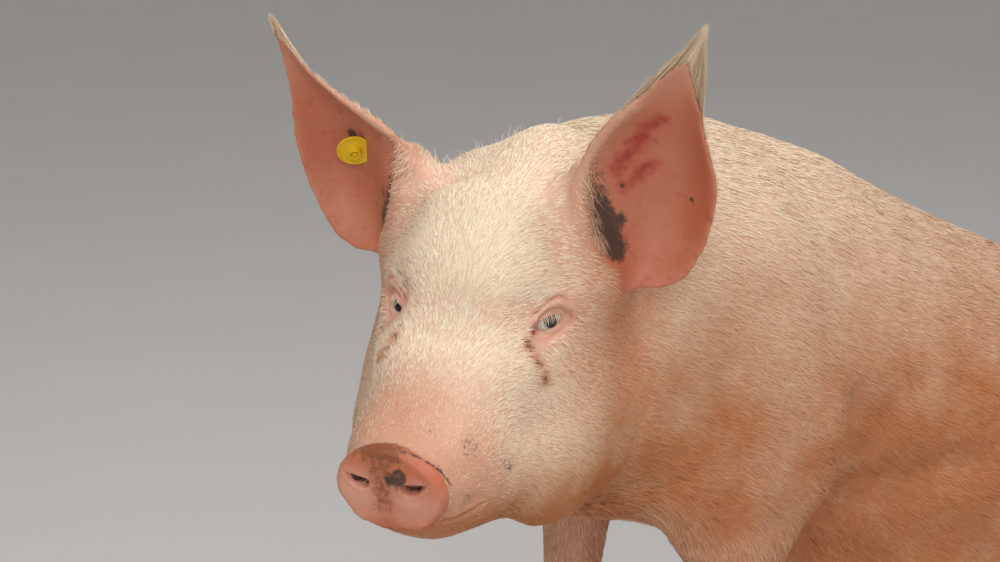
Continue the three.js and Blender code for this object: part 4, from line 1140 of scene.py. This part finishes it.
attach(skin, "root")
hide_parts(*flesh)

# %% [markdown]
# Pale lashes hang over each eye from the edge of the upper lid. There are only a few, so
# each is placed by itself: the point of the skin nearest to its place on the edge is its
# root, and it runs forward and down across the eye.

# %% Lashes
LASHES_TO = {"left": 10.5, "right": 2}
LASHES = 15
rooted, ways_of = [], []
for side in EYE:
    h, up, w = to_eye(points, side).T
    for at in np.linspace(-6.5, LASHES_TO[side], LASHES):
        line, along = lid_middle(np.array([at]))
        top = line[0] + LID_ABOVE * (4 * along[0] * (1 - along[0])) ** 0.8 + 0.7
        rooted.append(int(np.argmin((h - at) ** 2 + (up - top) ** 2 + 100 * (w < 4))))
        lean = [0.05 * at / 10 + chance.normal(0, 0.08), -0.72, 0.7 + chance.normal(0, 0.06)]
        ways_of.append(np.array([lean, np.subtract(lean, [0, 0.35, 0.2])]) @ EYE_AXES[side])
rooted, ways_of = np.array(rooted), unit(np.array(ways_of).transpose(1, 0, 2))
corner_at = np.zeros(len(points), int)
corner_at[triangles.ravel()] = loops.ravel()
lashes = tufts(
    "lashes",
    points[rooted],
    ways_of,
    unit(np.cross(ways_of[0], head_z)),
    chance.uniform(7, 9.5, len(rooted)) * np.repeat([1, 0.6], LASHES) * MM,
    np.full(len(rooted), 0.42 * MM),
    unwrap[corner_at[rooted]],
    marks[rooted] * 0,
)
coats.append(lashes)

# %% [markdown]
# Materials come next. Several of them share an effect: the marks laid over a plain colour.
# That is one node group, with the mark values and colours as its inputs. Noise on Object
# coordinates breaks up the edges of the marks, so that they look grown rather than drawn.


# %% Node helpers and the group that lays marks over a colour
def add(tree, kind, settings=None, **inputs):
    """Adds a node, sets its settings, and sets or links its inputs by name."""
    node = tree.nodes.new("ShaderNode" + kind)
    for name, value in (settings or {}).items():
        setattr(node, name, value)
    for name, value in inputs.items():
        wanted = name.replace("_", " ")
        socket = node.inputs[int(wanted[1:])] if wanted[1:].isdigit() else node.inputs[wanted]
        if isinstance(value, bpy.types.NodeSocket):
            tree.links.new(value, socket)
        else:
            socket.default_value = value
    return node


def group(name, inputs, outputs):
    tree = bpy.data.node_groups.new(name, "ShaderNodeTree")
    for label, kind in inputs.items():
        tree.interface.new_socket(label, in_out="INPUT", socket_type="NodeSocket" + kind)
    for label, kind in outputs.items():
        tree.interface.new_socket(label, in_out="OUTPUT", socket_type="NodeSocket" + kind)
    return tree, tree.nodes.new("NodeGroupInput"), tree.nodes.new("NodeGroupOutput")


def calc(tree, operation, a, b, clamp=False):
    settings = {"operation": operation, "use_clamp": clamp}
    return add(tree, "Math", settings, i0=a, i1=b).outputs[0]


def blend(tree, amount, a, b, kind="MIX"):
    node = add(tree, "Mix", {"data_type": "RGBA", "blend_type": kind}, i0=amount)
    for socket, value in ((node.inputs[6], a), (node.inputs[7], b)):
        if isinstance(value, bpy.types.NodeSocket):
            tree.links.new(value, socket)
        else:
            socket.default_value = (*value, 1)
    return node.outputs[2]


def past(tree, value, level, slope):
    """Nothing up to the level, and then rising to 1."""
    return calc(tree, "MULTIPLY", calc(tree, "SUBTRACT", value, level), slope, True)


def noise(tree, scale, detail=3.0, rough=0.55):
    where_at = add(tree, "TexCoord").outputs["Object"]
    node = add(tree, "TexNoise", Vector=where_at, Scale=scale, Detail=detail, Roughness=rough)
    return node.outputs[0]


INPUTS = {"Colour": "Color", "Stained_and_shaded": "Color", "Flushed": "Color"}
INPUTS |= {name: "Float" for name in ("stain_and_shade", "rosy", "mud", "grime_and_shade")}
marked, given, result = group("marks over a colour", INPUTS, {"Colour": "Color"})
broad, fine = noise(marked, 22, 4), noise(marked, 260, 4, 0.65)
patchy = calc(marked, "ADD", calc(marked, "MULTIPLY", broad, 0.9), 0.55)
# The stain mark also carries painted shade under the body.
stained_and_shaded = calc(marked, "MULTIPLY", given.outputs["stain_and_shade"], patchy, True)
flushed = calc(marked, "MULTIPLY", given.outputs["rosy"], patchy, True)
uneven = calc(marked, "MULTIPLY", noise(marked, 90, 5, 0.65), 1.1)
raised = calc(marked, "ADD", given.outputs["rosy"], uneven)
deepest = past(marked, raised, 1.32, 3)
colour = blend(marked, stained_and_shaded, given.outputs["Colour"], given.outputs["Stained_and_shaded"])
colour = blend(marked, flushed, colour, given.outputs["Flushed"])
colour = blend(marked, calc(marked, "MULTIPLY", deepest, 0.85), colour, (0.32, 0.02, 0.01))
# Mud is dirt; the near-black colour is grime, and also painted shade in the nostrils, the ear hollows,
# on the muzzle and by the tag.
for name, shade in (("mud", (0.22, 0.062, 0.020)), ("grime_and_shade", (0.030, 0.020, 0.012))):
    raised = calc(marked, "ADD", given.outputs[name], fine)
    spread = calc(marked, "MULTIPLY", past(marked, raised, 0.82, 3.2), 0.9)
    colour = blend(marked, spread, colour, shade)
marked.links.new(colour, result.inputs["Colour"])


def material(name, **plain):
    """A new material, its tree and its shader, with plain values on the shader's sockets."""
    made = bpy.data.materials.new(name)
    made.use_nodes = True
    shader = made.node_tree.nodes["Principled BSDF"]
    for label, value in plain.items():
        shader.inputs[label.replace("_", " ")].default_value = value
    return made, made.node_tree, shader


def paint(tree, shader, colour, height=None, strength=0.0, depth=0.0):
    """Links a colour to the shader, and a bump where a height is given."""
    tree.links.new(colour, shader.inputs["Base Color"])
    if height is not None:
        bump = add(tree, "Bump", Strength=strength, Distance=depth, Height=height)
        tree.links.new(bump.outputs[0], shader.inputs["Normal"])


def wear(obj, made):
    obj.data.materials.clear()
    obj.data.materials.append(made)


def with_marks(tree, colour, stained_and_shaded, flushed):
    """Lays the piece's stored marks over a colour."""
    node = add(tree, "Group", {"node_tree": marked})
    tree.links.new(colour, node.inputs["Colour"])
    node.inputs["Stained_and_shaded"].default_value = (*stained_and_shaded, 1)
    node.inputs["Flushed"].default_value = (*flushed, 1)
    for name in ("stain_and_shade", "rosy", "mud", "grime_and_shade"):
        value = add(tree, "Attribute", {"attribute_name": name}).outputs["Fac"]
        tree.links.new(value, node.inputs[name])
    return node.outputs["Colour"]


# %% Skin, hair, eyes, horn and tag
skin_material, tree, shader = material("pig skin", Roughness=0.52, Subsurface_Weight=0.12)
shader.inputs["Subsurface Radius"].default_value = (1, 0.35, 0.2)
shader.inputs["Subsurface Scale"].default_value = 0.006
mottled = blend(tree, noise(tree, 60, 4), (0.78, 0.53, 0.40), (0.68, 0.41, 0.29))
# The dark orange-brown stained colour also stands for painted shade under the body.
colour = with_marks(tree, mottled, (0.43, 0.15, 0.042), (0.50, 0.13, 0.07))
lumps = calc(tree, "ADD", noise(tree, 110, 3), noise(tree, 420, 3))
paint(tree, shader, colour, lumps, strength=0.25, depth=1.2 * MM)
wear(skin, skin_material)

hair, tree, shader = material("bristle", Roughness=0.48)
tone = add(tree, "Attribute", {"attribute_name": "tone"}).outputs["Fac"]
pale = blend(tree, tone, (0.93, 0.81, 0.62), (0.84, 0.68, 0.48))
# The dark orange-brown stained colour also stands for painted shade under the body.
paint(tree, shader, with_marks(tree, pale, (0.48, 0.16, 0.035), (0.76, 0.40, 0.27)))
for piece in coats:
    wear(piece, hair)

eye_material, tree, shader = material("eye", Roughness=0.04, IOR=1.36)
off = add(tree, "Attribute", {"attribute_name": "off_iris"}).outputs["Fac"]
ramp = add(tree, "ValToRGB", Fac=calc(tree, "DIVIDE", off, EYE_RADIUS / MM))
stops = [(0, (0.003, 0.002, 0.002)), (0.22, (0.004, 0.003, 0.003)), (0.28, (0.012, 0.006, 0.004))]
stops += [(0.40, (0.018, 0.010, 0.007)), (0.46, (0.32, 0.30, 0.26)), (0.58, (0.60, 0.57, 0.50))]
stops += [(1, (0.50, 0.34, 0.30))]
ramp.color_ramp.elements[0].color = (*stops[0][1], 1)
ramp.color_ramp.elements.remove(ramp.color_ramp.elements[1])
for at, shade in stops[1:]:
    ramp.color_ramp.elements.new(at).color = (*shade, 1)
paint(tree, shader, ramp.outputs[0])
for eyeball in eyeballs:
    wear(eyeball, eye_material)

horn_material, tree, shader = material("horn", Roughness=0.42)
bands = add(tree, "TexCoord").outputs["Object"]
bands = add(tree, "Mapping", Vector=bands, Scale=(30, 30, 260)).outputs[0]
bands = add(tree, "TexNoise", Vector=bands, Scale=1, Detail=3).outputs[0]
colour = blend(tree, bands, (0.10, 0.07, 0.045), (0.42, 0.30, 0.19))
paint(tree, shader, colour, bands, strength=0.4, depth=1 * MM)
wear(claws, horn_material)

tag_material, tree, shader = material("yellow tag", Roughness=0.4)
paint(tree, shader, blend(tree, noise(tree, 500, 4), (0.84, 0.57, 0.006), (0.66, 0.42, 0.006)))
wear(plate, tag_material)
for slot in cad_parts["ear_tag_stud"].material_slots:
    slot.material = tag_material
print("materials", [m.name for m in bpy.data.materials])

# %% [markdown]
# The camera stands at the pig's left front and a little above its eyes. Its place is
# measured from the head, so that it stays put if the whole figure moves.

# %% Camera
LENS_MM, SENSOR_MM = 66.96, 36
CAMERA_FROM_HEAD = [1.2008, -0.6698, 0.3927]
camera_data = bpy.data.cameras.new("camera")
camera_data.lens = LENS_MM
camera_data.sensor_width = SENSOR_MM
camera = placed("camera", camera_data)
AHEAD = unit(np.array([-0.8365, 0.4830, -0.2588]))
ACROSS = unit(np.cross(AHEAD, [0, 0, 1]))
turn = np.stack([ACROSS, np.cross(ACROSS, AHEAD), -AHEAD], axis=1)
camera.matrix_world = Matrix(turn.tolist()).to_4x4()
camera.location = HEAD_AT + CAMERA_FROM_HEAD
bpy.context.scene.camera = camera
print("head at", np.round(HEAD_AT, 4).tolist(), "camera at", np.round(camera.location, 4))

# %% [markdown]
# A plain pale floor carries the pig. Three large soft lamps light it: from above, from the
# front on the camera's side, and from behind, which keeps the back from sinking into shade.

# %% Floor and light
bpy.ops.object.select_all(action="DESELECT")
bpy.ops.mesh.primitive_plane_add(size=400)
floor = bpy.context.object
floor.name = "floor"
floor_material, tree, shader = material("pale floor", Roughness=0.9)
paint(tree, shader, blend(tree, noise(tree, 3, 2), (0.66, 0.65, 0.64), (0.62, 0.61, 0.60)))
wear(floor, floor_material)


def lamp(name, place, size, power):
    """A square light above the floor, facing the head."""
    data = bpy.data.lights.new(name, "AREA")
    data.size = size
    data.energy = power
    light = placed(name, data)
    light.location = HEAD_AT + np.array(place)
    light.rotation_euler = Vector(-np.array(place)).to_track_quat("-Z", "Y").to_euler()
    return light


lamps = [lamp("top", (0.6, -1.3, 2.9), 1.6, 24)]
lamps.append(lamp("front", (2.4, -1.4, 1.3), 1.8, 41))
lamps.append(lamp("back", (0.9, 1.3, 2.35), 1.4, 38))
world = bpy.data.worlds.new("studio")
bpy.context.scene.world = world
world.use_nodes = True
sky = world.node_tree.nodes["Background"].inputs
sky["Color"].default_value = (1, 0.97, 0.93, 1)
sky["Strength"].default_value = 0.38
bpy.context.scene.view_settings.view_transform = "Standard"
print("lamps", {light.name: light.data.energy for light in lamps})
